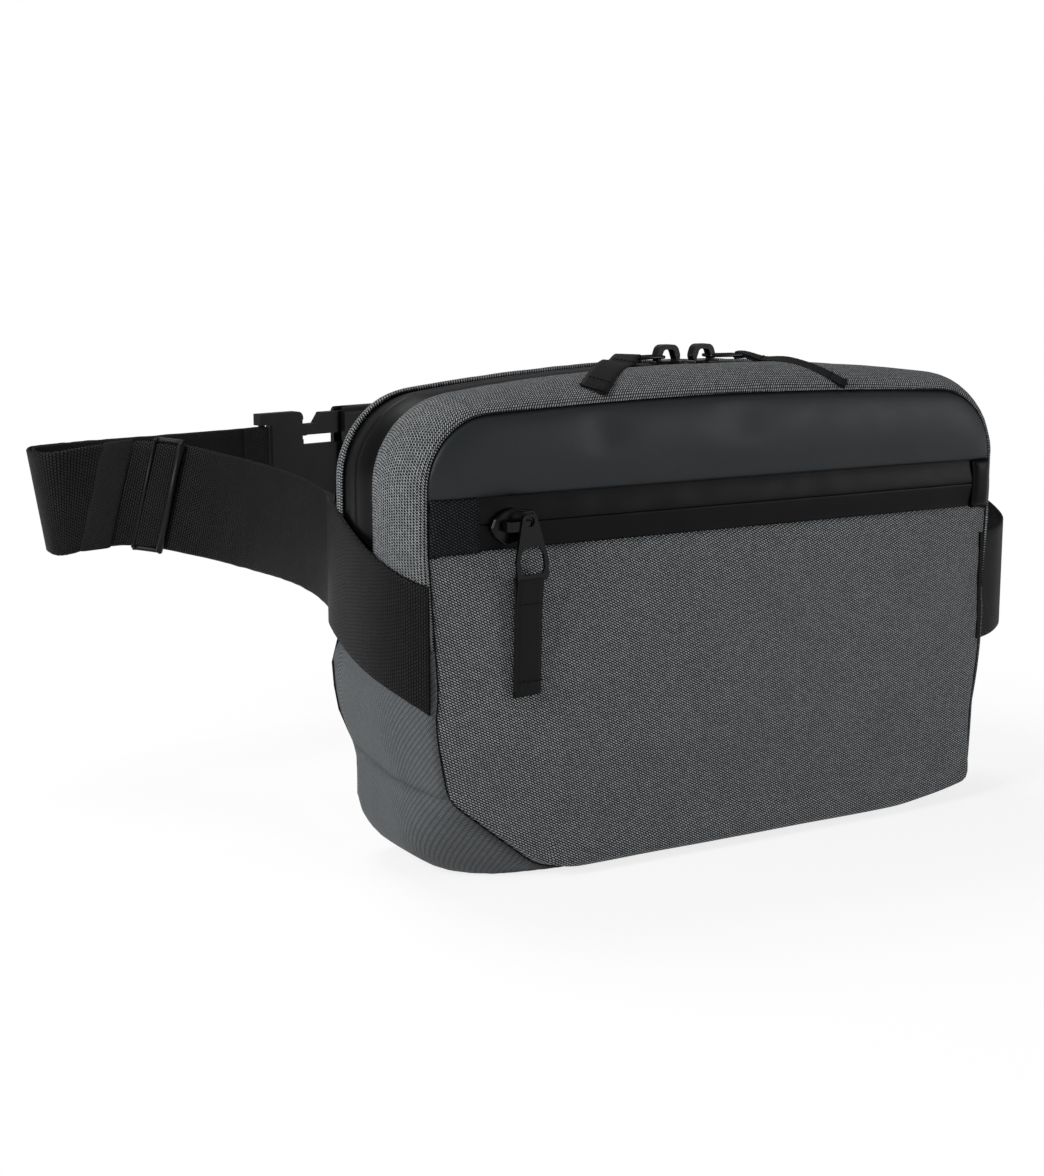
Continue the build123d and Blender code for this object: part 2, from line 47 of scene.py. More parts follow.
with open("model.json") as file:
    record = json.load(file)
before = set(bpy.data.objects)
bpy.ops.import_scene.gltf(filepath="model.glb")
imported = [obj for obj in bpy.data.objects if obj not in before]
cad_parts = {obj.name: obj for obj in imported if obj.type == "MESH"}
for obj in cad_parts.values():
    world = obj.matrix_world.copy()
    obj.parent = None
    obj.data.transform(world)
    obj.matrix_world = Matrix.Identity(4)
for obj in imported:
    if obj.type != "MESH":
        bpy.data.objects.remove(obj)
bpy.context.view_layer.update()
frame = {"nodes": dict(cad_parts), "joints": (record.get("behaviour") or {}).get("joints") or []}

MM = 0.001
BAG = "bag"

# The shell's seams, as depths from front to back.
FRONT_Y = -40.0
BAND_Y = -13.0
COIL_Y = 1.5
REAR_Y = 15.5
BACK_Y = 27.0
BACK_FACE_Y = 35.5
ZIP_LOW = 136.5
ZIP_HIGH = 157.0
ZIP_MIDDLE = 146.8
ARCH_TOP = 202.0

# Bag outlines in millimetres: half widths, heights, the cut across the lower corner, the radii of its two
# ends and of the crown, how far the side bellies out, and the height of the belt's lower edge there.
OUTLINE_KEYS = ("base", "side", "side_z", "shoulder_z", "top_z", "cut_wide", "cut_high", "foot", "heel",
                "crown",
                "base_z", "belly", "belt_z")
FRONT_OUTLINE = dict(zip(OUTLINE_KEYS,
                         (131.3, 141.3, 136.0, 187.5, 192.5, 44.0, 38.0, 40.0, 18.0, 27.0, 0.8, 2.0, 74.0)))
FRONT_RIGHT = dict(zip(OUTLINE_KEYS,
                       (138.0, 145.6, 130.0, 187.5, 192.5, 42.0, 6.0, 90.0, 5.0, 30.0, 0.8, 2.0, 90.0)))
BODY_OUTLINE = dict(zip(OUTLINE_KEYS,
                        (137.5, 150.0, 130.0, 190.0, 202.0, 17.0, 17.0, 26.0, 26.0, 32.0, 0.4, 4.0, 84.0)))
BACK_OUTLINE = dict(zip(OUTLINE_KEYS,
                        (133.5, 143.8, 130.0, 186.5, 196.8, 17.0, 17.0, 26.0, 26.0, 32.0, 0.6, 9.0, 92.0)))
BODY_RIGHT = dict(BODY_OUTLINE, side=155.0)
SIDE_SEAM_Z = 46.0


def colour_setting(name, text, hex_value):
    """A colour that a user may change."""
    return bpy.props.FloatVectorProperty(
        name=name, description=text, subtype="COLOR", size=3, min=0.0, max=1.0,
        default=linear(hex_value)[:3]
    )


def linear(hex_value):
    """An sRGB hex colour as linear red, green, blue, alpha."""
    parts = [int(hex_value[i : i + 2], 16) / 255 for i in (1, 3, 5)]
    return tuple(c / 12.92 if c <= 0.04045 else ((c + 0.055) / 1.055) ** 2.4 for c in parts) + (1.0,)


class PackSizes(bpy.types.PropertyGroup):
    """Sizes of the soft parts."""

    webbing_wide: bpy.props.FloatProperty(
        name="Webbing width", description="Width of the belt webbing", default=0.05, unit="LENGTH"
    )
    webbing_thick: bpy.props.FloatProperty(
        name="Webbing thickness", description="Thickness of one layer of webbing", default=0.0016,
        unit="LENGTH"
    )
    ribbon_wide: bpy.props.FloatProperty(
        name="Ribbon width", description="Width of the zip pulls' ribbons", default=0.0116, unit="LENGTH"
    )
    panel_crown: bpy.props.FloatProperty(
        name="Front crown", description="How far the front panel stands proud of its seam", default=0.006,
        unit="LENGTH"
    )


class PackColours(bpy.types.PropertyGroup):
    """Colours of the cloths and threads."""

    thread: colour_setting("Cloth thread", "Raised thread of the grey cloth", "#7d8082")
    gap: colour_setting("Cloth gap", "Shade between the threads of the grey cloth", "#060607")
    coated: colour_setting("Coated cloth", "Smooth cloth over the pocket", "#202325")
    black: colour_setting("Black", "Zips, webbing and mouldings", "#070707")


# ------------------------------------------------------------------------------------------ materials


def add(tree, kind, settings=None, links=None):
    """Put one node in a tree, with its settings and what feeds it."""
    made = tree.nodes.new(kind)
    for key, value in (settings or {}).items():
        if isinstance(key, int) or key in made.inputs:
            made.inputs[key].default_value = value
        else:
            setattr(made, key, value)
    for key, source in (links or {}).items():
        tree.links.new(source, made.inputs[key])
    return made


def finish_material(tree, colour, rough, height, height_mm, sheen, specular, metallic=0.0):
    """Close a material with its colour, its roughness and the height of its surface pattern."""
    shader = add(tree, "ShaderNodeBsdfPrincipled", {"Metallic": metallic, "Specular IOR Level": specular})
    shader.inputs["Sheen Weight"].default_value = sheen
    shader.inputs["Sheen Roughness"].default_value = 0.5
    tree.links.new(colour, shader.inputs["Base Color"])
    if isinstance(rough, float):
        shader.inputs["Roughness"].default_value = rough
    else:
        tree.links.new(rough, shader.inputs["Roughness"])
    raised = add(tree, "ShaderNodeBump", {"Strength": 0.8, "Distance": height_mm * MM}, {"Height": height})
    tree.links.new(raised.outputs["Normal"], shader.inputs["Normal"])
    add(tree, "ShaderNodeOutputMaterial", {}, {"Surface": shader.outputs["BSDF"]})


def new_tree(name):
    """A fresh material and its empty node tree."""
    made = bpy.data.materials.new(name)
    made.use_nodes = True
    made.node_tree.nodes.clear()
    return made, made.node_tree


def cloth_place(tree, turn=0.0):
    """The cloth's own flat coordinates, in millimetres along and across the threads."""
    flat = add(tree, "ShaderNodeUVMap", {"uv_map": "cloth"})
    return add(
        tree,
        "ShaderNodeMapping",
        {"Scale": (1000.0, 1000.0, 1000.0), "Rotation": (0.0, 0.0, turn)},
        {"Vector": flat.outputs["UV"]},
    ).outputs["Vector"]


def cloudy(tree, place, size_mm, detail=2.0):
    """Soft uneven shade, as large as size_mm."""
    return add(tree, "ShaderNodeTexNoise", {"Scale": 1.0 / size_mm, "Detail": detail},
               {"Vector": place}).outputs["Fac"]


def ranged(tree, value, low, high):
    """A 0 to 1 value spread between two numbers."""
    return add(tree, "ShaderNodeMapRange", {"To Min": low, "To Max": high},
               {"Value": value}).outputs["Result"]


def blended(tree, factor, first, second, kind="MIX"):
    """Mix two colours, each a socket or a colour."""
    node = add(tree, "ShaderNodeMix", {"data_type": "RGBA", "blend_type": kind})
    for socket, value in ((node.inputs[0], factor), (node.inputs[6], first), (node.inputs[7], second)):
        if isinstance(value, (int, float, tuple)):
            socket.default_value = value
        else:
            tree.links.new(value, socket)
    return node.outputs[2]


def laid_threads(tree, place, along_mm, across_mm, gap_share, soft, threads, gap, patch_mm, patch_range):
    """Staggered threads with gaps between them, a little uneven in tone: their colour and their height. The
    gaps take the dark gap colour as painted shade between the threads.
    """
    brick = add(
        tree,
        "ShaderNodeTexBrick",
        {
            "offset": 0.5,
            "Scale": 1.0,
            "Brick Width": along_mm,
            "Row Height": across_mm,
            "Mortar Size": across_mm * gap_share,
            "Mortar Smooth": soft,
            "Color1": threads[0],
            "Color2": threads[1],
            # Painted shade: the gap colour fills the mortar between the threads.
            "Mortar": gap,
        },
        {"Vector": place[0]},
    )
    shade = ranged(tree, cloudy(tree, place[1], patch_mm), *patch_range)
    toned = blended(tree, 1.0, brick.outputs["Color"], shade, "MULTIPLY")
    height = add(tree, "ShaderNodeMath", {"operation": "SUBTRACT", 0: 1.0},
                 {1: brick.outputs["Fac"]}).outputs["Value"]
    return toned, height


def woven(name, thread, gap, along_mm, across_mm, rough, sheen, depth, lift, turn=0.0):
    """Plain-woven ballistic polyester: staggered raised threads with dark gaps of painted shade give a
    grainy, dashed grey.
    """
    made, tree = new_tree(name)
    place = cloth_place(tree, turn)
    wander = add(tree, "ShaderNodeTexNoise", {"Scale": 0.35, "Detail": 1.0}, {"Vector": place})
    shifted = add(
        tree,
        "ShaderNodeVectorMath",
        {"operation": "MULTIPLY_ADD", 1: (0.35, 0.16, 0.0)},
        {0: wander.outputs["Color"], 2: place},
    ).outputs["Vector"]
    bright = tuple(min(1.0, c * (1 + lift)) for c in thread[:3]) + (1.0,)
    toned, height = laid_threads(
        tree, (shifted, place), along_mm, across_mm, 0.3, 0.5, (thread, bright), gap, 22.0, (0.86, 1.12)
    )
    finish_material(tree, toned, rough, height, depth, sheen, 0.08)
    return made


def coated_cloth(name, colour, rough_low, rough_high, rib_mm, specular):
    """Film-coated cloth or zip tape: a smooth face with faint thread lines and an uneven soft shine."""
    made, tree = new_tree(name)
    place = cloth_place(tree)
    uneven = cloudy(tree, place, 30.0, 3.0)
    toned = blended(tree, 1.0, colour, ranged(tree, uneven, 0.82, 1.15), "MULTIPLY")
    rough = ranged(tree, cloudy(tree, place, 14.0), rough_low, rough_high)
    grain = cloudy(tree, place, 0.5, 1.0)
    if rib_mm:
        ribs = add(
            tree,
            "ShaderNodeTexWave",
            {"bands_direction": "X", "Scale": 1.0 / rib_mm / 1.6, "Distortion": 0.2},
            {"Vector": place},
        ).outputs["Fac"]
        grain = add(tree, "ShaderNodeMath", {"operation": "ADD"}, {0: grain, 1: ribs}).outputs["Value"]
    finish_material(tree, toned, rough, grain, 0.05, 0.0, specular)
    return made


def ribbed_webbing(name, colour, light, rib_mm, thread_mm, rough, depth):
    """Heavy nylon webbing: ribs across the belt, split by the warp, with painted shade in the black gaps
    between them, so that it reads as small bright dashes.
    """
    made, tree = new_tree(name)
    place = cloth_place(tree)
    turned = add(tree, "ShaderNodeMapping", {"Rotation": (0.0, 0.0, math.pi / 2)}, {"Vector": place})
    dim = tuple(c * 0.8 for c in light[:3]) + (1.0,)
    # The colour argument fills the gaps between the ribs as painted shade.
    toned, height = laid_threads(
        tree, (turned.outputs["Vector"], place), thread_mm, rib_mm, 0.24, 1.0, (light, dim), colour, 18.0,
        (0.8, 1.15)
    )
    finish_material(tree, toned, rough, height, depth, 0.0, 0.06)
    return made


def moulded(name, colour, rough, grain_mm, metallic, specular, edge_highlight=0.0):
    """Moulded acetal or enamelled zinc: a fine even texture, with convex edges painted a little brighter as a
    painted highlight.
    """
    made, tree = new_tree(name)
    place = add(tree, "ShaderNodeTexCoord").outputs["Object"]
    fine = add(tree, "ShaderNodeTexNoise", {"Scale": 1.0 / (grain_mm * MM), "Detail": 2.0},
               {"Vector": place})
    patchy = add(tree, "ShaderNodeTexNoise", {"Scale": 90.0, "Detail": 3.0}, {"Vector": place})
    edge = add(tree, "ShaderNodeNewGeometry").outputs["Pointiness"]
    # Painted highlight: convex edges, found by pointiness, are blended towards a brighter colour.
    highlit_edges = add(
        tree, "ShaderNodeMapRange", {"From Min": 0.52, "From Max": 0.6, "To Min": 0.0, "To Max": edge_highlight},
        {"Value": edge}
    ).outputs["Result"]
    toned = blended(tree, highlit_edges, colour, tuple(min(1.0, c * 5 + 0.02) for c in colour[:3]) + (1.0,))
    worn_rough = ranged(tree, patchy.outputs["Fac"], rough - 0.06, rough + 0.08)
    finish_material(tree, toned, worn_rough, fine.outputs["Fac"], 0.03, 0.0, specular, metallic)
    return made


def make_materials(colours):
    """Every finish of the bag, by its own name."""
    thread = tuple(colours.thread) + (1.0,)
    gap = tuple(colours.gap) + (1.0,)
    black = tuple(colours.black) + (1.0,)
    coated = tuple(colours.coated) + (1.0,)
    # Near black, painted as shade in the gaps between the binding tape's threads.
    binding_gap_shade = linear("#060606")
    return {
        # Ballistic weave: thick flat threads that run slantwise, drawn as dashes 1.5 by 0.9 mm.
        "bag_cloth": woven("ballistic_polyester", thread, gap, 1.5, 0.9, 0.55, 0.0, 0.3, 0.5, 0.5),
        # The same yarn on the bias, 1.4 by 0.9 mm, on the bands round the main zip.
        "band_cloth": woven("ballistic_polyester_bias", thread, gap, 1.4, 0.9, 0.55, 0.0, 0.3, 0.5, 0.9),
        # A finer and flatter cloth on the sides and base, which reads smoother and a little bluer.
        "side_cloth": woven("fine_polyester", linear("#5a5d5f"), linear("#3c3e40"), 1.3, 0.8, 0.6, 0.0,
                            0.06, 0.25, 0.5),
        "coated_cloth": coated_cloth("coated_polyester", coated, 0.42, 0.55, 0.0, 0.2),
        "zip_tape": coated_cloth("film_coated_zip_tape", linear("#040404"), 0.34, 0.46, 0.0, 0.09),
        "zip_chain": coated_cloth("film_over_coil", linear("#0c0c0c"), 0.36, 0.46, 1.2, 0.17),
        "garage": woven("woven_tab", linear("#26282a"), linear("#000000"), 1.6, 1.0, 0.7, 0.0, 0.25, 0.5,
                        0.5),
        "binding": woven("binding_tape", linear("#141415"), binding_gap_shade, 1.0, 0.6, 0.65, 0.0, 0.1, 0.2),
        "webbing": ribbed_webbing("nylon_webbing", linear("#000000"), linear("#242425"), 1.15, 1.5, 0.5,
                                  0.5),
        "elastic": ribbed_webbing("ribbed_elastic", linear("#0b0b0b"), linear("#252525"), 0.9, 1.4, 0.75,
                                  0.15),
        "ribbon": coated_cloth("flat_ribbon", linear("#0c0c0c"), 0.5, 0.62, 0.6, 0.12),
        "thread": moulded("sewing_thread", linear("#040404"), 0.6, 0.3, 0.0, 0.1),
        "zinc": moulded("black_enamelled_zinc", linear("#020202"), 0.26, 0.5, 0.0, 0.22, 0.05),
        "acetal": moulded("moulded_acetal", black, 0.45, 0.35, 0.0, 0.2, 0.04),
        "wire": moulded("enamelled_wire", linear("#020202"), 0.22, 0.5, 0.0, 0.25, 0.05),
        "welt": woven("seam_welt", linear("#7a7c7e"), linear("#050505"), 1.6, 1.2, 0.6, 0.0, 0.2, 0.3),
        "lining": woven("lining_cloth", linear("#3a3b3d"), linear("#1c1d1e"), 0.8, 0.5, 0.7, 0.02, 0.05,
                        0.2),
        "air_mesh": woven("spacer_mesh", linear("#1d1e1f"), linear("#020202"), 2.2, 1.6, 0.75, 0.02, 0.5,
                          0.2),
    }


# ------------------------------------------------------------------------------------------ mesh making


def grid_piece(name, rows, uvs, material, wrap=False, thick=0.0, smooth=0):
    """A cloth piece from rows of points in millimetres, with its flat coordinates in millimetres."""
    mesh = bpy.data.meshes.new(name)
    wide = len(rows[0])
    points = [Vector(p) * MM for row in rows for p in row]
    faces = []
    corners = []
    for r in range(len(rows) - 1):
        for c in range(wide if wrap else wide - 1):
            d = (c + 1) % wide
            faces.append((r * wide + c, r * wide + d, (r + 1) * wide + d, (r + 1) * wide + c))
            corners += [uvs[r][c], uvs[r][c + 1], uvs[r + 1][c + 1], uvs[r + 1][c]]
    mesh.from_pydata(points, [], faces)
    layer = mesh.uv_layers.new(name="cloth")
    for loop, uv in enumerate(corners):
        layer.data[loop].uv = (uv[0] * MM, uv[1] * MM)
    mesh.materials.append(material)
    for face in mesh.polygons:
        face.use_smooth = True
    made = bpy.data.objects.new(name, mesh)
    bpy.context.collection.objects.link(made)
    if thick:
        solid = made.modifiers.new("thickness", "SOLIDIFY")
        solid.thickness = thick * MM
        solid.offset = -1.0
    if smooth:
        sub = made.modifiers.new("smooth", "SUBSURF")
        sub.levels = smooth
        sub.render_levels = smooth
    return made


def place_piece(piece, body, slot, *nodes):
    """Say what a piece rides on and which plain solids it stands for; the slot argument is not used."""
    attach(piece, body)
    if nodes:
        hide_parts(*nodes)
    return piece


def eased(value):
    """0 to 1 with soft ends."""
    value = min(1.0, max(0.0, value))
    return value * value * (3 - 2 * value)


def mixed(first, second, share):
    """A value between two."""
    return first + (second - first) * share


def mixed_outline(first, second, share):
    """An outline between two."""
    return {key: mixed(first[key], second[key], share) for key in OUTLINE_KEYS}


def rounded(corner, before, after, radius, steps=14):
    """Points of the arc that rounds one corner of a flat outline."""
    into = (Vector(corner) - Vector(before)).normalized()
    out = (Vector(after) - Vector(corner)).normalized()
    turn = into.angle(out)
    reach = radius * math.tan(turn / 2)
    start = Vector(corner) - into * reach
    side = Vector((-into.y, into.x))
    if side.dot(out) < 0:
        side = -side
    centre = start + side * radius
    return [centre - side * radius * math.cos(turn * i / steps) + into * radius * math.sin(turn * i / steps)
            for i in range(steps + 1)]


def belly_of(height, o):
    """How far the side stands out at a height: it swells over the base seam and is held in by the belt."""
    if height < SIDE_SEAM_Z:
        return 0.32 * o["belly"] * math.sin(math.pi * height / SIDE_SEAM_Z)
    swell = math.sin(math.pi / 2 * min(1.0, (height - SIDE_SEAM_Z) / 26)) ** 0.8
    return o["belly"] * swell * eased((o["belt_z"] + 9.0 - height) / 14)


def half_outline(o):
    """The right half of an outline, from the middle of the base to the middle of the top."""
    base = (o["base"], o["base_z"])
    side = (o["side"], o["side_z"])
    shoulder = (o["side"], o["shoulder_z"])
    top = (0.0, o["top_z"])
    low = (base[0] - o["cut_wide"], base[1])
    high = (base[0] + (side[0] - base[0]) * o["cut_high"] / side[1], base[1] + o["cut_high"])
    points = [Vector((0.0, o["base_z"]))]
    points += rounded(low, (0.0, o["base_z"]), high, o["foot"], 8)
    points += rounded(high, low, side, o["heel"], 8)
    flank = points[-1]
    points += [flank.lerp(Vector(side), i / 14) for i in range(1, 15)]
    for point in points:
        point.x += belly_of(point.y, o)
    crown = rounded(shoulder, side, top, o["crown"])
    rise = o["top_z"] - o["shoulder_z"]
    for i, point in enumerate(crown + [Vector((crown[-1].x * (1 - k / 8), 0.0)) for k in range(1, 9)]):
        share = point.x / o["side"]
        if i < len(crown):
            height = point.y
        else:
            height = o["top_z"] - rise * share
        points.append(Vector((point.x, height + rise * share * (1 - share))))
    return points


def lengths(points):
    """How far along a run each of its points is."""
    total = [0.0]
    for a, b in zip(points, points[1:]):
        total.append(total[-1] + (b - a).length)
    return total


def along(points, marks, distance):
    """The point at a distance along a run."""
    distance = min(max(distance, 0.0), marks[-1])
    low = 0
    high = len(marks) - 1
    while high - low > 1:
        middle = (low + high) // 2
        if marks[middle] <= distance:
            low = middle
        else:
            high = middle
    span = marks[high] - marks[low]
    return points[low].lerp(points[high], (distance - marks[low]) / span if span else 0.0)


def reach_height(points, marks, height):
    """How far along a half outline its side reaches a height."""
    for i in range(1, len(points)):
        if points[i].y >= height:
            share = (height - points[i - 1].y) / max(points[i].y - points[i - 1].y, 1e-6)
            return mixed(marks[i - 1], marks[i], share)
    return marks[-1]


# How many columns the ring of cloth has on one half: base, side below the belt, side above it and top.
BASE_COLUMNS = 34
SIDE_COLUMNS = 18
TOP_COLUMNS = 62


def outline_at(depth, front=FRONT_OUTLINE, body=BODY_OUTLINE):
    """The bag's outline at one depth, rounded out between its seams."""
    if depth <= BAND_Y:
        share = max(0.0, (depth - FRONT_Y) / (BAND_Y - FRONT_Y))
        return mixed_outline(front, body, math.sin(share * math.pi / 2) ** 0.9)
    if depth <= REAR_Y:
        return body
    share = min(1.0, (depth - REAR_Y) / (BACK_Y - REAR_Y))
    return mixed_outline(body, BACK_OUTLINE, 1 - math.cos(share * math.pi / 2))


def base_seam(depth):
    """Height of the seam between side and base."""
    return 39.0 + 0.2 * (depth - FRONT_Y)


def belt_line(depth):
    """Height of the belt's middle on the bag's side."""
    return 99.0 + 0.27 * (depth - FRONT_Y)


def seam_depth(height):
    """Depth of the front seam: it turns in under the bag at the base."""
    return FRONT_Y + 6.0 * eased((9.0 - height) / 8)


def half_row(depth, puff, front, body):
    """One half of a row of points round the bag, from the middle of the base to the middle of the top."""
    half = half_outline(outline_at(depth, front, body))
    marks = lengths(half)
    low = reach_height(half, marks, base_seam(depth))
    split = reach_height(half, marks, belt_line(depth))
    stops = [low * i / BASE_COLUMNS for i in range(BASE_COLUMNS)]
    stops += [mixed(low, split, i / SIDE_COLUMNS) for i in range(SIDE_COLUMNS)]
    stops += [mixed(split, marks[-1], i / TOP_COLUMNS) for i in range(TOP_COLUMNS + 1)]
    right = []
    for stop in stops:
        here = along(half, marks, stop)
        ahead = along(half, marks, stop + 0.5) - along(half, marks, stop - 0.5)
        outward = Vector((ahead.y, -ahead.x)).normalized()
        bump = puff(stop, depth)
        if here.y < 12:
            bump *= max(0.0, here.y / 12)
        share = max(0.0, 1 - (depth - FRONT_Y) / 12.0)
        tuck = (seam_depth(here.y) - FRONT_Y) * share
        right.append((Vector((here.x + outward.x * bump, depth + tuck, here.y + outward.y * bump)), stop))
    return [p for p, _ in right], [s for _, s in right]


def ring_row(depth, puff):
    """One row of points round the bag, from mid base, up the right side and back down the left."""
    row, flat = half_row(depth, puff, FRONT_RIGHT, BODY_RIGHT)
    left, left_flat = half_row(depth, puff, FRONT_OUTLINE, BODY_OUTLINE)
    mirrored = [Vector((-p.x, p.y, p.z)) for p in reversed(left[1:-1])]
    whole = flat[-1] + left_flat[-1]
    return row + mirrored, flat + [whole - s for s in reversed(left_flat[1:-1])] + [whole]


def wavy(where, size, seed):
    """Smooth unevenness between -1 and 1."""
    return noise.noise(Vector((where.x / size + seed, where.y / size, where.z / size)))


SIDE_START = BASE_COLUMNS
SPLIT = BASE_COLUMNS + SIDE_COLUMNS
HALF = BASE_COLUMNS + SIDE_COLUMNS + TOP_COLUMNS


def ring_part(name, depths, columns, material, puff, slot, nodes, thick=1.2, seed=0.0, crease=1.0):
    """A strip of the ring between two sets of depths, over some of its columns."""
    rows = []
    flats = []
    for depth in depths:
        row, flat = ring_row(depth, puff)
        count = len(row)
        picked = [c % count for c in columns]
        rows.append([row[c].copy() for c in picked])
        flats.append([(flat[c] if c < len(flat) else flat[c % count], depth) for c in columns])
    for r, row in enumerate(rows):
        edge = min(r, len(rows) - 1 - r)
        if edge == 0:
            continue
        for c, point in enumerate(row):
            end = min(c, len(row) - 1 - c)
            if end == 0 or point.z < 4:
                continue
            fade = min(1.0, end / 3) * math.exp(-edge * 0.35)
            size = 0.55 * crease * fade * wavy(Vector((flats[r][c][0], depths[r] * 0.2, 0.0)), 9.0, seed)
            away = Vector((point.x, 0.0, point.z - 95.0)).normalized()
            rows[r][c] = point + away * size
    piece = grid_piece(name, rows, flats, material, False, thick, 0)
    return place_piece(piece, BAG, slot, *nodes)


def settle(piece, pressure, frames, cap_mm):
    """Let cloth held at its edges fill out under a light pressure; no point moves beyond the cap."""
    mesh = piece.data
    rest = [v.co.copy() for v in mesh.vertices]
    rim = set()
    uses = {}
    for face in mesh.polygons:
        for key in face.edge_keys:
            uses[key] = uses.get(key, 0) + 1
    for key, count in uses.items():
        if count == 1:
            rim.update(key)
    held = piece.vertex_groups.new(name="held")
    held.add(sorted(rim), 1.0, "REPLACE")
    kept = [(m.name, m.show_viewport) for m in piece.modifiers]
    for name, _ in kept:
        piece.modifiers[name].show_viewport = False
    cloth = piece.modifiers.new("cloth", "CLOTH")
    while piece.modifiers[0].name != cloth.name:
        bpy.context.view_layer.objects.active = piece
        bpy.ops.object.modifier_move_up(modifier=cloth.name)
    settings = cloth.settings
    settings.quality = 6
    settings.mass = 0.25
    settings.tension_stiffness = 20
    settings.compression_stiffness = 20
    settings.shear_stiffness = 8
    settings.bending_stiffness = 2.0
    settings.vertex_group_mass = held.name
    settings.use_pressure = True
    settings.uniform_pressure_force = pressure
    settings.effector_weights.gravity = 0.0
    cloth.point_cache.frame_start = 1
    cloth.point_cache.frame_end = frames
    for number in range(1, frames + 1):
        bpy.context.scene.frame_set(number)
    graph = bpy.context.evaluated_depsgraph_get()
    moved = piece.evaluated_get(graph).to_mesh()
    places = [v.co.copy() for v in moved.vertices]
    piece.evaluated_get(graph).to_mesh_clear()
    piece.modifiers.remove(piece.modifiers[cloth.name])
    bpy.context.scene.frame_set(1)
    for name, shown in kept:
        piece.modifiers[name].show_viewport = shown
    for vertex, before, after in zip(mesh.vertices, rest, places):
        shift = after - before
        if shift.length > cap_mm * MM:
            shift = shift.normalized() * cap_mm * MM
        vertex.co = before + shift
    mesh.update()
    return piece


def spread(low, high, count):
    """Evenly spaced values."""
    return [mixed(low, high, i / count) for i in range(count + 1)]


def band_puff(low, high, size):
    """A function that fills a band of cloth out between two seams."""

    def puff(stop, depth):
        share = (depth - low) / (high - low)
        if not 0 < share < 1:
            return 0.0
        return size * math.sin(math.pi * share) ** 0.6

    return puff


def tube(name, path, radius, material, closed=False, sides=10):
    """A round cord, welt or wire along points in millimetres."""
    points = [Vector(p) for p in path]
    count = len(points)
    rows = []
    flats = []
    run = 0.0
    lift = None
    for i, point in enumerate(points):
        ahead = points[(i + 1) % count] if closed else points[min(i + 1, count - 1)]
        behind = points[i - 1] if closed or i else points[0]
        tangent = (ahead - behind).normalized()
        if lift is None:
            lift = tangent.orthogonal().normalized()
        lift = (lift - tangent * lift.dot(tangent)).normalized()
        side = tangent.cross(lift)
        size = radius(i / (count - 1)) if callable(radius) else radius
        rows.append([point + (lift * math.cos(a) + side * math.sin(a)) * size
                     for a in (2 * math.pi * k / sides for k in range(sides))])
        flats.append([(run, 2 * math.pi * radius_of(size) * k / sides) for k in range(sides + 1)])
        run += (ahead - point).length
    if closed:
        rows.append(rows[0])
        flats.append([(run, v) for _, v in flats[0]])
    piece = grid_piece(name, rows, flats, material, True)
    if closed:
        weld(piece)
    else:
        cap_ends(piece, sides, len(rows))
    return piece


def radius_of(size):
    """A radius that never vanishes, for flat coordinates."""
    return max(size, 0.01)


def weld(piece):
    """Join the points that lie on each other."""
    work = bmesh.new()
    work.from_mesh(piece.data)
    bmesh.ops.remove_doubles(work, verts=work.verts, dist=1e-6)
    work.to_mesh(piece.data)
    work.free()


def cap_ends(piece, sides, rows):
    """Close both ends of a tube."""
    work = bmesh.new()
    work.from_mesh(piece.data)
    work.verts.ensure_lookup_table()
    last = (rows - 1) * sides
    work.faces.new([work.verts[i] for i in reversed(range(sides))])
    work.faces.new([work.verts[last + i] for i in range(sides)])
    work.to_mesh(piece.data)
    work.free()


def curve_through(points, steps=8):
    """A smooth run through given points."""
    places = [Vector(p) for p in points]
    ends = [places[0] * 2 - places[1]] + places + [places[-1] * 2 - places[-2]]
    run = []
    for i in range(1, len(ends) - 2):
        a, b, c, d = ends[i - 1 : i + 3]
        for k in range(steps):
            t = k / steps
            bend = (2 * a - 5 * b + 4 * c - d) * t * t + (3 * b - a - 3 * c + d) * t ** 3
            run.append(0.5 * (2 * b + (c - a) * t + bend))
    run.append(ends[-2])
    return run


def strap(name, lower, upper, thick, material, across):
    """Flat webbing between a lower and an upper edge, both in millimetres, with rolled edges."""
    rows = []
    flats = []
    run = 0.0
    count = len(lower)
    for i in range(count):
        low = lower[i]
        high = upper[i]
        if i:
            run += ((low + high) / 2 - (lower[i - 1] + upper[i - 1]) / 2).length
        ahead = (lower[min(i + 1, count - 1)] + upper[min(i + 1, count - 1)]) / 2
        behind = (lower[max(i - 1, 0)] + upper[max(i - 1, 0)]) / 2
        up = (high - low).normalized()
        wide = (high - low).length
        face = (ahead - behind).normalized().cross(up).normalized()
        loop = []
        marks = []
        half = thick / 2
        for k in range(across + 1):
            loop.append(low + up * mixed(half, wide - half, k / across) + face * half)
            marks.append(mixed(0.0, wide, k / across))
        loop.append(high)
        marks.append(wide + half)
        for k in range(across + 1):
            loop.append(low + up * mixed(wide - half, half, k / across) - face * half)
            marks.append(mixed(wide + 2 * half, 2 * wide, k / across))
        loop.append(low)
        marks.append(2 * wide + half)
        rows.append(loop)
        flats.append([(run, m) for m in marks + [2 * wide + 2 * half]])
    piece = grid_piece(name, rows, flats, material, True)
    cap_ends(piece, len(rows[0]), len(rows))
    return piece


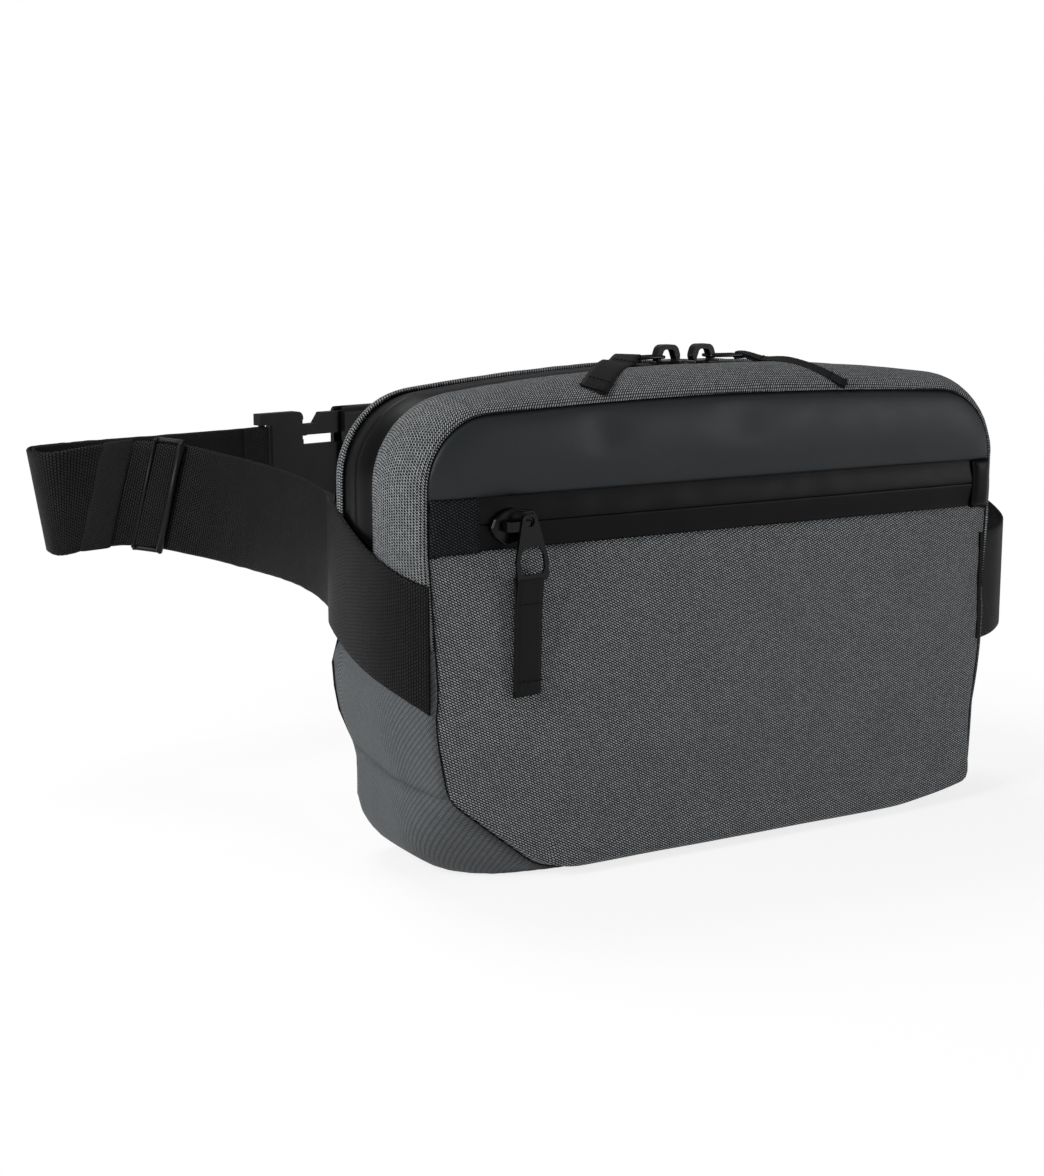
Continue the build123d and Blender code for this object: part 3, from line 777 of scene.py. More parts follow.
def outline_block(name, points, thick, material, bevel=0.4, segments=3, matrix=None, holes=()):
    """A plate cut to an outline in millimetres, standing on Z = 0, with holes and softened edges."""
    work = bmesh.new()
    loops = [points, *holes]
    edges = []
    for loop in loops:
        verts = [work.verts.new((x * MM, y * MM, 0.0)) for x, y in loop]
        edges += [work.edges.new((verts[i], verts[(i + 1) % len(verts)])) for i in range(len(verts))]
    bmesh.ops.triangle_fill(work, edges=edges, use_beauty=True, normal=(0, 0, 1))
    flat = list(work.faces)
    lifted = bmesh.ops.extrude_face_region(work, geom=flat)
    bmesh.ops.translate(work, vec=(0, 0, thick * MM),
                        verts=[g for g in lifted["geom"] if isinstance(g, bmesh.types.BMVert)])
    bmesh.ops.recalc_face_normals(work, faces=work.faces)
    bmesh.ops.dissolve_limit(work, angle_limit=0.01, verts=work.verts, edges=work.edges)
    mesh = bpy.data.meshes.new(name)
    work.to_mesh(mesh)
    work.free()
    mesh.materials.append(material)
    made = bpy.data.objects.new(name, mesh)
    bpy.context.collection.objects.link(made)
    soften(made, bevel, segments)
    if matrix is not None:
        mesh.transform(matrix)
    return made


def soften(piece, size_mm, segments=3):
    """Round the sharp edges of a moulded or cast piece."""
    bevel = piece.modifiers.new("soft edges", "BEVEL")
    bevel.width = size_mm * MM
    bevel.segments = segments
    bevel.limit_method = "ANGLE"
    bevel.angle_limit = math.radians(35)
    bevel.harden_normals = True
    for face in piece.data.polygons:
        face.use_smooth = True
    return piece


def rounded_loop(corners, radius, steps=5):
    """A closed flat outline with every corner rounded."""
    loop = []
    count = len(corners)
    for i in range(count):
        loop += [tuple(p) for p in rounded(corners[i], corners[i - 1], corners[(i + 1) % count], radius,
                                           steps)]
    return loop


def joined(name, pieces):
    """Make several meshes one piece, with their softening applied."""
    graph = bpy.context.evaluated_depsgraph_get()
    work = bmesh.new()
    materials = []
    for piece in pieces:
        mesh = piece.evaluated_get(graph).to_mesh()
        start = len(work.faces)
        work.from_mesh(mesh)
        work.faces.ensure_lookup_table()
        material = piece.data.materials[0]
        if material not in materials:
            materials.append(material)
        for face in work.faces[start:]:
            face.material_index = materials.index(material)
        piece.evaluated_get(graph).to_mesh_clear()
    mesh = bpy.data.meshes.new(name)
    work.to_mesh(mesh)
    work.free()
    for material in materials:
        mesh.materials.append(material)
    for piece in pieces:
        bpy.data.objects.remove(piece)
    made = bpy.data.objects.new(name, mesh)
    bpy.context.collection.objects.link(made)
    for face in mesh.polygons:
        face.use_smooth = True
    return made


# ------------------------------------------------------------------------------------------ the bag's cloth


def make_shell(finish):
    """Front band, zip sides, rear band, side panels and base."""
    top = list(range(SPLIT, 2 * HALF - SPLIT + 1))
    left_side = list(range(2 * HALF - SPLIT, 2 * HALF - SIDE_START + 1))
    right_side = list(range(SIDE_START, SPLIT + 1))
    base = list(range(2 * HALF - SIDE_START, 2 * HALF + SIDE_START + 1))
    front = ring_part("front_band", spread(FRONT_Y, BAND_Y, 12), top, finish["band_cloth"],
                      band_puff(FRONT_Y, BAND_Y, 1.6), "bag_cloth", ["front_gusset"], seed=3.1)
    settle(front, 1.5, 14, 0.6)
    rear = ring_part("rear_band", spread(REAR_Y, BACK_Y, 7), top, finish["band_cloth"],
                     band_puff(REAR_Y, BACK_Y, 0.9), "bag_cloth", ["rear_gusset"], seed=7.7)
    for name, columns in (("left", left_side), ("right", right_side)):
        side = ring_part("side_cloth_" + name, spread(FRONT_Y, BACK_Y, 26), columns, finish["side_cloth"],
                         band_puff(FRONT_Y, BACK_Y, 2.0), "bag_cloth", ["side_panel_" + name], seed=11.0)
        settle(side, 1.5, 14, 1.5)
    bottom = ring_part("base_cloth", spread(FRONT_Y, BACK_Y, 26), base, finish["side_cloth"],
                       band_puff(FRONT_Y, BACK_Y, 2.0), "bag_cloth", ["bottom_panel"], seed=17.0,
                       crease=2.4)
    for name, column in (("left", 2 * HALF - SIDE_START), ("right", SIDE_START)):
        path = [ring_row(depth, band_puff(FRONT_Y, BACK_Y, 2.0))[0][column] for depth in spread(FRONT_Y,
                BACK_Y, 26)]
        welt = tube("base_seam_" + name, path, 0.8, finish["welt"])
        place_piece(welt, BAG, "bag_cloth")
    return front, rear, bottom


def front_halves():
    """The left and right halves of the front outline, each with its run."""
    halves = {}
    for sign, outline in ((-1, FRONT_OUTLINE), (1, FRONT_RIGHT)):
        half = half_outline(outline)
        halves[sign] = (half, lengths(half))
    return halves


def panel(name, count, rise, foot_of, head_of, depth_of, material, slot, node, side_of=None):
    """A front panel ruled between its lower and upper edges, with a depth at each point of it."""
    rows = []
    flats = []
    for r in range(rise + 1):
        up = r / rise
        row = []
        flat = []
        for c in range(count + 1):
            across = 2 * c / count - 1
            sign = 1 if across >= 0 else -1
            point = foot_of(sign, abs(across)).lerp(head_of(sign, abs(across)), up)
            if side_of:
                edge = foot_of(sign, 1.0).lerp(head_of(sign, 1.0), up)
                point.x += (side_of(sign, edge.y) - edge.x) * abs(across)
            row.append((sign * point.x, depth_of(across, up, point), point.y))
            flat.append((sign * point.x, point.y))
        rows.append(row)
        flats.append(flat)
    return place_piece(grid_piece(name, rows, flats, material, False, 1.2), BAG, slot, node)


# Heights where the lower panel's side edges start, left and right.
FOOT_TOP = {-1: 40.0, 1: 22.0}


def make_front(finish, crown_mm):
    """The lower and upper front panels and the seam cord round them."""
    halves = front_halves()

    def edge(sign, height):
        half, marks = halves[sign]
        return along(half, marks, reach_height(half, marks, height))

    def foot_of(sign, share):
        half, marks = halves[sign]
        return along(half, marks, share * reach_height(half, marks, FOOT_TOP[sign]))

    def head_of(sign, share):
        return Vector((share * edge(sign, ZIP_LOW).x, ZIP_LOW))

    def lower_depth(across, up, point):
        seam = seam_depth(point.y) if up == 0 else FRONT_Y
        if up == 0 or abs(across) == 1:
            return seam
        sides = (1 - abs(across) ** 5) ** 0.9
        crown = crown_mm * sides * math.sin(math.pi * min(1.0, up * 0.9 + 0.1)) ** 0.5
        foot = 4.0 * sides * math.exp(-(((up - 0.03) / 0.09) ** 2)) * (1.0 if across > -0.6 else 0.6)
        near = min((1 - abs(across)) * 1.4, up)
        pucker = 0.7 * math.exp(-near * 22) * wavy(Vector((point.x * 0.3, 0.0, point.y)), 9.0, 4.0)
        hem = 1.0 * eased((up - 0.965) / 0.02) * sides
        return mixed(seam_depth(point.y), FRONT_Y, eased(up * 30)) - crown - foot - hem + pucker

    lower = panel("front_lower_cloth", 104, 56, foot_of, head_of, lower_depth, finish["bag_cloth"],
                  "bag_cloth",
                  "front_lower_panel", lambda sign, height: edge(sign, height).x)
    settle(lower, 0.8, 16, 0.8)

    def sill_of(sign, share):
        return Vector((share * edge(sign, ZIP_HIGH).x, ZIP_HIGH))

    def arch_of(sign, share):
        half, marks = halves[sign]
        return along(half, marks, mixed(marks[-1], reach_height(half, marks, ZIP_HIGH), share))

    def upper_depth(across, up, point):
        pillow = math.sin(math.pi * up) ** 0.5 * (1 - abs(across) ** 8)
        dent = 3.4 * math.exp(-(((across + 0.42) / 0.06) ** 2))
        dent += 2.6 * math.exp(-(((across - 0.02) / 0.08) ** 2))
        return FRONT_Y - 0.9 * crown_mm * pillow + dent * eased((up - 0.35) / 0.4) * (1 - up * up)

    upper = panel("front_upper_cloth", 104, 22, sill_of, arch_of, upper_depth, finish["coated_cloth"],
                  "coated_cloth", "front_upper_panel")
    settle(upper, 1.5, 16, 1.5)

    right, _ = halves[1]
    left, _ = halves[-1]
    ring = right + [Vector((-p.x, p.y)) for p in reversed(left[1:-1])]
    path = [Vector((p.x, seam_depth(p.y) + 0.5, p.y + 0.5)) for p in ring]
    cord = tube("front_seam_cord", path, 0.85, finish["binding"], True)
    place_piece(cord, BAG, "binding_tape", "front_piping")
    return lower, upper, cord


def make_back(finish):
    """Padded back: an air-mesh face with sewn channels and its bound edge."""
    half = half_outline(BACK_OUTLINE)
    marks = lengths(half)
    count = 90
    rings = 26
    outline = [along(half, marks, marks[-1] * i / (count // 2)) for i in range(count // 2 + 1)]
    whole = outline + [Vector((-p.x, p.y)) for p in reversed(outline[1:-1])]
    middle = Vector((0.0, 96.0))
    rows = []
    flats = []
    for r in range(rings + 1):
        share = r / rings
        row = []
        flat = []
        for point in whole:
            here = middle.lerp(point, max(0.02, 1 - share) if r < rings else 0.0005)
            edge = min(1.0, share * 6)
            thick = (BACK_FACE_Y - BACK_Y) * math.sin(edge * math.pi / 2) ** 0.7 + 0.4
            for channel in (-48.0, 48.0):
                thick -= 2.6 * math.exp(-(((here.x - channel) / 4.0) ** 2)) * edge
            thick -= 2.6 * math.exp(-(((here.y - 60.0) / 4.0) ** 2)) * edge if abs(here.x) > 48 else 0.0
            row.append((here.x, BACK_Y + thick + 0.5 * wavy(Vector((here.x, here.y, 0)), 16, 5.0) * edge,
                        here.y))
            flat.append((here.x, here.y))
        rows.append(row)
        flats.append(flat + [flat[0]])
    pad = grid_piece("back_padded_face", rows, flats, finish["air_mesh"], True, 1.5)
    place_piece(pad, BAG, "bag_cloth", "back_panel")
    edge = [Vector((p.x * 1.002, BACK_Y + 0.6, max(p.y, 1.2))) for p in whole]
    bound = tube("back_edge_binding", edge, 1.5, finish["binding"], True, 10)
    place_piece(bound, BAG, "binding_tape", "back_binding")
    return pad, bound


# ------------------------------------------------------------------------------------------ zips


def make_main_zip(finish):
    """Two coated tapes that meet over the top and down the sides, with their coils behind them."""
    top = list(range(SPLIT, 2 * HALF - SPLIT + 1))

    def tape_puff(stop, depth):
        off = abs(depth - COIL_Y)
        side = min(1.0, off / 14.0)
        return 0.5 - 1.5 * math.sin(math.pi * side / 2) ** 3 - 0.6 * math.exp(-((off / 0.35) ** 2))

    front = ring_part("zip_tape_front",
                      spread(BAND_Y, COIL_Y - 1.6, 9) + [COIL_Y - 0.9, COIL_Y - 0.4, COIL_Y - 0.02],
                      top, finish["zip_tape"], tape_puff, "coated_zip_tape", ["main_zip_tape_front"], 0.9,
                      23.0, 0.5)
    rear = ring_part("zip_tape_rear",
                     [COIL_Y + 0.02, COIL_Y + 0.4, COIL_Y + 0.9] + spread(COIL_Y + 1.6, REAR_Y, 9),
                     top, finish["zip_tape"], tape_puff, "coated_zip_tape", ["main_zip_tape_rear"], 0.9,
                     29.0, 0.5)
    for name, start, end in (("front", COIL_Y - 2.4, COIL_Y - 0.1), ("rear", COIL_Y + 0.1, COIL_Y + 2.4)):
        def coil_puff(stop, depth, start=start, end=end):
            return -3.0 + 1.2 * math.sin(math.pi * (depth - start) / (end - start))

        ring_part("zip_coil_" + name, spread(start, end, 5), top, finish["zip_chain"], coil_puff,
                  "zip_coil",
                  ["main_zip_coil_" + name], 0.6, 0.0, 0.0)
    return front, rear


def make_front_zip(finish):
    """The pocket zip: two coated tapes that meet, their coils behind, and a tab at each end."""
    halves = front_halves()

    def end_of(sign, height):
        half, marks = halves[sign]
        return sign * along(half, marks, reach_height(half, marks, height)).x

    count = 120

    def strip(name, heights, depth_of, material, slot, node):
        rows = []
        flats = []
        for height in heights:
            left, right = end_of(-1, height), end_of(1, height)
            rows.append([(mixed(left, right, c / count),
                          depth_of(height) + 0.25 * wavy(Vector((c * 2.3, 0, height)), 14.0, 8.0), height)
                         for c in range(count + 1)])
            flats.append([(mixed(left, right, c / count), height) for c in range(count + 1)])
        piece = grid_piece(name, rows, flats, material, False, 0.8)
        return place_piece(piece, BAG, slot, node)

    def depth_of(height):
        off = abs(height - ZIP_MIDDLE)
        return FRONT_Y - 0.7 - 0.5 * math.cos(math.pi * min(1.0,
                off / 10.4)) + 0.3 * math.exp(-((off / 0.3) ** 2))

    def behind(height):
        return FRONT_Y + 1.4

    gaps = [2.0, 1.3, 0.8, 0.45, 0.2, 0.01]
    strip("pocket_tape_lower", spread(ZIP_LOW - 1.5, ZIP_MIDDLE - 2.6, 8) + [ZIP_MIDDLE - g for g in gaps],
          depth_of,
          finish["zip_tape"], "coated_zip_tape", "front_zip_tape_lower")
    strip("pocket_tape_upper",
          [ZIP_MIDDLE + g for g in reversed(gaps)] + spread(ZIP_MIDDLE + 2.6, ZIP_HIGH + 1.5, 8),
          depth_of, finish["zip_tape"], "coated_zip_tape", "front_zip_tape_upper")
    strip("pocket_coil_lower", spread(ZIP_MIDDLE - 2.4, ZIP_MIDDLE - 0.1, 4), behind, finish["zip_chain"],
          "zip_coil", "front_zip_coil_lower")
    strip("pocket_coil_upper", spread(ZIP_MIDDLE + 0.1, ZIP_MIDDLE + 2.4, 4), behind, finish["zip_chain"],
          "zip_coil", "front_zip_coil_upper")

    def tab(name, x0, x1, material, slot, node, bulge):
        rows = []
        flats = []
        for r in range(13):
            height = mixed(ZIP_LOW - 0.6, ZIP_HIGH + 0.6, r / 12)
            fall = 1 - abs(2 * r / 12 - 1) ** 5
            row = []
            for c in range(9):
                side = 1 - abs(2 * c / 8 - 1) ** 4
                row.append((mixed(x0, x1, c / 8), FRONT_Y - 1.3 - bulge * fall * side, height))
            rows.append(row)
            flats.append([(mixed(x0, x1, c / 8), height) for c in range(9)])
        return place_piece(grid_piece(name, rows, flats, material, False, 1.0), BAG, slot, node)

    left, right = end_of(-1, ZIP_MIDDLE), end_of(1, ZIP_MIDDLE)
    tab("pocket_garage_tab", left + 0.5, left + 22.0, finish["garage"], "binding_tape",
        "front_zip_garage_tab", 0.8)
    tab("pocket_end_tab", right - 10.0, right - 0.3, finish["zip_tape"], "coated_zip_tape",
        "front_zip_end_tab", 1.6)


def slider_plate(name, long, wide, material):
    """The shield-shaped top plate of a zip slider, with its nose at +X."""
    corners = [(-long / 2, -wide * 0.26), (-long * 0.1, -wide * 0.3), (long * 0.2, -wide / 2),
               (long * 0.42, -wide * 0.42),
               (long / 2, 0.0), (long * 0.42, wide * 0.42), (long * 0.2, wide / 2),
               (-long * 0.1, wide * 0.3),
               (-long / 2, wide * 0.26)]
    return outline_block(name, rounded_loop(corners, 1.1, 4), 2.1, material, 0.8, 4)


def arch(name, long, high, wide, thick, material, lift=1.9):
    """A cast bridge that stands on a slider, spanning X."""
    outer = rounded_loop([(-long / 2, -0.4), (-long / 2 + high * 0.35, high),
                          (long / 2 - high * 0.35, high),
                          (long / 2, -0.4)], high * 0.42, 6)
    inner = rounded_loop([(-long / 2 + thick * 1.25, -0.35),
                          (-long / 2 + high * 0.4 + thick * 0.8, high - thick),
                          (long / 2 - high * 0.4 - thick * 0.8, high - thick),
                          (long / 2 - thick * 1.25, -0.35)],
                         min(high * 0.3, 1.6), 6)
    stand = Matrix.Translation((0, wide / 2 * MM, lift * MM)) @ Matrix.Rotation(math.pi / 2, 4, "X")
    return outline_block(name, outer, wide, material, 0.45, 3, stand, [inner])


def make_front_slider(finish):
    """Pocket slider with its cast eye, its plate puller and the ribbon looped on the puller."""
    low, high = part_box("front_zip_slider")
    centre = Vector(((low[0] + high[0]) / 2 / MM - 0.4, FRONT_Y - 1.3, ZIP_MIDDLE - 1.2))
    to_zip = Matrix.Translation(centre * MM) @ Matrix.Rotation(math.pi / 2, 4, "X")
    shield = [(-11.2, -0.6), (-9.6, 3.4), (-5.6, 6.2), (-1.6, 7.4), (2.4, 6.4), (8.8, 5.6), (9.0, 0.0),
              (8.0, -4.4),
              (1.0, -6.6), (-4.8, -7.4), (-9.0, -4.0)]
    plate = outline_block("slider_top", rounded_loop(shield, 1.6, 5), 1.9, finish["zinc"], 0.7, 4)
    rim = tube("slider_rim", [Vector((x * 0.93, y * 0.93, 1.9)) for x, y in rounded_loop(shield, 1.6, 5)],
               0.42,
               finish["zinc"], True, 8)
    bridge = arch("slider_bridge", 14.2, 5.4, 3.9, 1.7, finish["zinc"], 1.5)
    bridge.data.transform(Matrix.Translation((-0.4 * MM, 0.4 * MM, 0.0)))
    body = joined("pocket_slider", [plate, rim, bridge])
    body.data.transform(to_zip)
    place_piece(body, "front_slider", "black_metal", "front_zip_slider")

    pivot = Vector(frame_joint("front_puller_swing"))
    lean = Matrix.Translation((2.6 * MM, 0.0, 0.6 * MM)) @ Matrix.Rotation(math.radians(-4), 4, "Y")
    hang = Matrix.Translation(pivot) @ lean @ Matrix.Rotation(math.pi / 2, 4, "X")
    outside = rounded_loop([(-2.9, 3.4), (2.9, 3.4), (4.4, -3.0), (7.3, -15.0), (7.0, -23.6), (-7.0, -23.6),
                            (-7.3, -15.0), (-4.4, -3.0)], 2.0, 6)
    window = rounded_loop([(-3.4, -9.6), (3.4, -9.6), (5.4, -13.5), (5.4, -20.6), (-5.4, -20.6),
                           (-5.4, -13.5)], 1.9, 6)
    eye = [(2.0 * math.cos(2 * math.pi * i / 20),
            0.4 + 2.0 * math.sin(2 * math.pi * i / 20)) for i in range(20)]
    puller = outline_block("pocket_puller", outside, 1.5, finish["zinc"], 0.5, 3,
                           hang @ Matrix.Translation((0, 0, 0.6 * MM)), [window, eye])
    place_piece(puller, "front_puller", "black_metal", "front_zip_puller")
    bar = Vector(frame_joint("front_ribbon_swing")) + Vector((3.2 * MM, 0.0, 1.0 * MM))
    ribbon = hanging_ribbon("pocket_ribbon", bar, finish)
    place_piece(ribbon, "front_ribbon", "ribbon", "front_zip_ribbon")


def frame_joint(name):
    """Where a joint's pivot is, in metres."""
    for joint in frame["joints"] if isinstance(frame["joints"], list) else frame["joints"].values():
        if joint["name"] == name:
            return joint["pos_m"]
    raise ValueError("the frame has no joint called " + name)


def hanging_ribbon(name, bar, finish):
    """A ribbon folded over a bar, hanging down, with two rows of stitches."""
    wide = 12.0
    long = 46.0
    loop = []
    for i in range(13):
        angle = math.pi * (i / 12)
        loop.append(Vector((0.0, -1.9 * math.cos(angle), 2.2 * math.sin(angle))))
    front = [Vector((0.0, -0.75 - 1.1 * math.exp(-s / 4), -s)) for s in spread(1.0, long, 16)]
    rear = [Vector((0.0, 0.75 + 1.1 * math.exp(-s / 4), -s)) for s in spread(1.0, long, 16)]
    line = list(reversed(front)) + loop + rear
    centre = bar / MM
    skew = [Vector((0.02 * p.z, 0.0, 0.0)) for p in line]
    lower = [centre + p + k + Vector((-wide / 2, 0, 0)) for p, k in zip(line, skew)]
    upper = [centre + p + k + Vector((wide / 2, 0, 0.06 * abs(p.z) / 4)) for p, k in zip(line, skew)]
    body = strap("ribbon_body", lower, upper, 1.1, finish["ribbon"], 6)
    stitches = []
    for height in (-9.0, -long + 6.0):
        for k in range(6):
            x = mixed(-wide / 2 + 1.2, wide / 2 - 1.2, k / 5)
            start = centre + Vector((x - 0.55, -1.35, height + 0.25 * (k % 2)))
            stitches.append(tube("stitch",
                                 [start, start + Vector((0.5, -0.22, 0.0)), start + Vector((1.1, 0, 0))],
                                 0.22, finish["thread"], False, 6))
    return joined(name, [body, *stitches])


# Share of its width that the right ribbon shows, as it lies on edge.
RIGHT_RIBBON_SHARE = 0.48


def make_main_sliders(finish, ribbon_mm):
    """Two crown sliders nose to nose on the top, each with a wire link and a limp ribbon."""
    for side, sign in (("left", -1), ("right", 1)):
        low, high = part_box("main_zip_slider_" + side)
        centre_x = (low[0] + high[0]) / 2 / MM
        top = ARCH_TOP - 12.0 * (centre_x / 150.0) ** 2
        place = Matrix.Translation((centre_x * MM, COIL_Y * MM, top * MM))
        if sign < 0:
            place = place @ Matrix.Rotation(math.pi, 4, "Z")
        plate = slider_plate("slider_top", 15.5, 12.0, finish["zinc"])
        plate.data.transform(Matrix.Rotation(math.pi, 4, "Z"))
        crown = arch("slider_crown", 14.4, 7.8, 4.4, 2.1, finish["zinc"], 1.2)
        body = joined("main_slider_body_" + side, [plate, crown])
        body.data.transform(place)
        place_piece(body, "main_slider_" + side, "black_metal", "main_zip_slider_" + side)

        near = Vector(frame_joint("main_link_%s_swing" % side)) / MM
        far = Vector(frame_joint("main_ribbon_%s_swing" % side)) / MM
        run = (far - near).normalized()
        across = Vector((0, 1, 0))
        half = 4.3
        ring = []
        for point, direction in ((near, -1), (far, 1)):
            for i in range(9):
                angle = math.pi * (i / 8 - 0.5)
                out = run * direction * math.cos(angle) * 2.0
                ring.append(point - run * direction * 1.0 + out + across * half * math.sin(angle) * direction)
        link = tube("main_link_wire_" + side, ring, 0.72, finish["wire"], True, 10)
        place_piece(link, "main_link_" + side, "black_wire", "main_zip_link_" + side)
        ribbon = draped_ribbon("main_ribbon_tab_" + side, far, side, finish,
                               ribbon_mm if side == "left" else ribbon_mm * RIGHT_RIBBON_SHARE)
        place_piece(ribbon, "main_ribbon_" + side, "ribbon", "main_zip_ribbon_" + side)


def draped_ribbon(name, bar, side, finish, wide):
    """A ribbon looped on a wire link and lying forward over the front band of the bag."""
    heading = Vector((-0.74, -0.67, 0.0)) if side == "left" else Vector((0.52, -0.85, 0.0))
    long = 56.0 if side == "left" else 50.0
    twist = math.radians(-14 if side == "left" else 24)
    cross = Vector((-heading.y, heading.x, 0.0))
    top = []
    for s in spread(0.0, long, 22):
        spot = bar + heading * s
        surface = height_of_top(spot) + 2.2
        height = max(surface, mixed(bar.z + 1.2, surface, eased(s / 14)))
        top.append(Vector((spot.x, spot.y, height)))
    under = [p - Vector((0, 0, 1.2)) for p in top[2:]]
    loop = [bar + heading * (-1.3 * math.cos(a)) + Vector((0, 0, -1.5 * math.sin(a))) for a in (0.5, 1.4,
            2.3)]
    line = list(reversed(under)) + list(reversed(loop)) + top
    lower = []
    upper = []
    for point in line:
        far = min(1.0, (point - bar).length / 22)
        tip = cross * math.cos(twist * far) + Vector((0, 0, math.sin(twist * far)))
        raise_by = Vector((0, 0, wide / 2 * abs(math.sin(twist * far))))
        lower.append(point - tip * wide / 2 + raise_by)
        upper.append(point + tip * wide / 2 + raise_by)
    body = strap("ribbon_body", lower, upper, 1.0, finish["ribbon"], 6)
    stitches = []
    for s in (12.0, long - 6.0):
        index = len(line) - len(top) + int(s / long * 22)
        for k in range(6):
            spot = lower[index].lerp(upper[index], mixed(0.14, 0.86, k / 5))
            face = (upper[index] - lower[index]).cross(heading).normalized()
            if face.z < 0:
                face = -face
            start = spot + face * 0.55
            stitches.append(tube("stitch",
                                 [start - heading * 0.1, start + cross * 0.5 + face * 0.2, start + cross],
                                 0.2, finish["thread"], False, 6))
    return joined(name, [body, *stitches])


def height_of_top(spot):
    """Height of the bag's upper surface under a point."""
    outline = outline_at(max(FRONT_Y, min(BACK_Y, spot.y)))
    share = abs(spot.x) / outline["side"]
    rise = outline["top_z"] - outline["shoulder_z"]
    return outline["top_z"] - rise * share * share


# ------------------------------------------------------------------------------------------ belt

# The belt seen from above, with the heights of its lower and upper edges, how far its ribs slant back
# at the top, and how far its top edge stands outward beyond its lower one.
LEFT_LINE = (
    (-141.5, -41.0, 73.5, 124.5, 0.0, 0.0), (-148.0, -33.0, 79.0, 128.0, 0.0, 0.0),
    (-152.5, -22.0, 83.5, 133.0, 0.0, 0.0), (-153.8, -8.0, 87.0, 138.5, 0.0, 0.0),
    (-152.6, 10.0, 91.5, 145.5, 0.0, 0.0), (-149.8, 27.0, 96.0, 150.5, 0.0, 0.0),
    (-144.5, 42.0, 97.0, 151.0, 0.0, 0.0), (-136.5, 56.0, 97.0, 149.5, 0.0, 0.0),
    (-132.2, 72.0, 98.4, 149.0, 0.0, 0.0), (-131.0, 90.0, 101.0, 150.8, 1.0, 0.0),
    (-132.6, 110.0, 103.0, 152.8, 2.0, 0.0), (-135.5, 132.0, 103.6, 154.3, 4.0, 0.0),
    (-139.5, 152.0, 104.5, 155.5, 5.0, 0.0), (-147.0, 172.0, 106.5, 157.1, 6.5, 0.0),
    (-158.5, 185.9, 109.3, 159.5, 6.5, 0.0), (-172.0, 198.5, 110.5, 160.7, 6.5, 0.0),
    (-186.0, 205.0, 109.5, 159.6, 6.0, 0.0), (-198.0, 208.6, 107.1, 158.0, 3.0, 3.0),
    (-206.0, 211.6, 106.0, 156.5, 0.0, 7.0), (-210.2, 216.5, 106.0, 156.0, 0.0, 8.0),
    (-211.2, 224.5, 106.5, 156.5, 0.0, 8.0), (-209.0, 231.5, 107.0, 157.0, 0.0, 7.0),
    (-202.0, 237.6, 107.0, 157.0, 0.0, 4.0), (-192.0, 242.6, 107.0, 157.0, 0.0, 1.0),
    (-174.0, 247.6, 107.0, 157.0, 0.0, 0.0), (-150.0, 251.6, 107.0, 157.0, 0.0, 0.0),
    (-118.0, 258.2, 107.0, 157.0, 0.0, 0.0), (-90.0, 264.2, 107.0, 157.0, 0.0, 0.0),
)
RIGHT_LINE = (
    (22.1, 287.4, 107.0, 157.0, 0.0, 0.0), (42.0, 288.0, 107.0, 157.0, 0.0, 0.0),
    (62.0, 284.6, 107.0, 157.0, 0.0, 0.0), (84.0, 276.0, 107.0, 157.0, 0.0, 0.0),
    (106.0, 264.5, 107.0, 157.0, 0.0, 0.0), (130.0, 246.0, 107.0, 157.0, 0.0, 0.0),
    (152.0, 223.0, 107.0, 157.0, 0.0, 0.0), (168.0, 194.0, 107.0, 157.0, 0.0, 0.0),
    (179.5, 160.0, 106.5, 156.5, 0.0, 0.0), (185.0, 122.0, 104.5, 154.5, 0.0, 0.0),
    (186.3, 85.0, 101.5, 151.5, 0.0, 0.0), (184.0, 50.0, 97.5, 147.5, 0.0, 0.0),
    (180.0, 20.0, 91.5, 141.5, 0.0, 0.0), (176.2, -8.0, 83.5, 133.5, 0.0, 0.0),
    (170.0, -25.0, 78.5, 128.5, 0.0, 0.0), (158.0, -35.0, 75.5, 125.5, 0.0, 0.0),
    (142.0, -40.5, 74.0, 124.0, 0.0, 0.0),
)
SLIDE_AT = 14
KEEPER_AT = 16


def outward_of(dense, i):
    """The level direction square to a run, on its outer side."""
    ahead = dense[min(i + 1, len(dense) - 1)] - dense[max(i - 1, 0)]
    flat = Vector((ahead.x, ahead.y, 0.0)).normalized()
    return Vector((-flat.y, flat.x, 0.0)), flat


def belt_edges(line, shift=0.0, steps=8, rough=0.0):
    """The lower and upper edges of webbing that follows a line, moved sideways by a shift."""
    plan = curve_through([Vector((p[0], p[1], 0.0)) for p in line], steps)
    heights = curve_through([Vector((p[2], p[3], 0.0)) for p in line], steps)
    tilts = curve_through([Vector((p[4], p[5], 0.0)) for p in line], steps)
    lower = []
    upper = []
    for i, point in enumerate(plan):
        outward, ahead = outward_of(plan, i)
        low, high, _ = heights[i]
        slant, lean, _ = tilts[i]
        spot = point + outward * shift
        wobble = rough * wavy(Vector((i * 3.0, 0.0, 0.0)), 7.0, 2.0)
        lower.append(spot + ahead * slant - outward * lean / 2 + Vector((0, 0, low + wobble)))
        upper.append(spot - ahead * slant + outward * lean / 2 + Vector((0, 0, high - wobble)))
    return lower, upper


def across_belt(lower, upper, index, off):
    """A line across the belt, off its outer face: its two ends, the run and the outward side."""
    up = (upper[index] - lower[index]).normalized()
    ahead = (lower[index + 1] + upper[index + 1] - lower[index - 1] - upper[index - 1]).normalized()
    outward = up.cross(ahead).normalized()
    if outward.y > 0:
        outward = -outward
    return lower[index] + outward * off, upper[index] + outward * off, ahead, outward


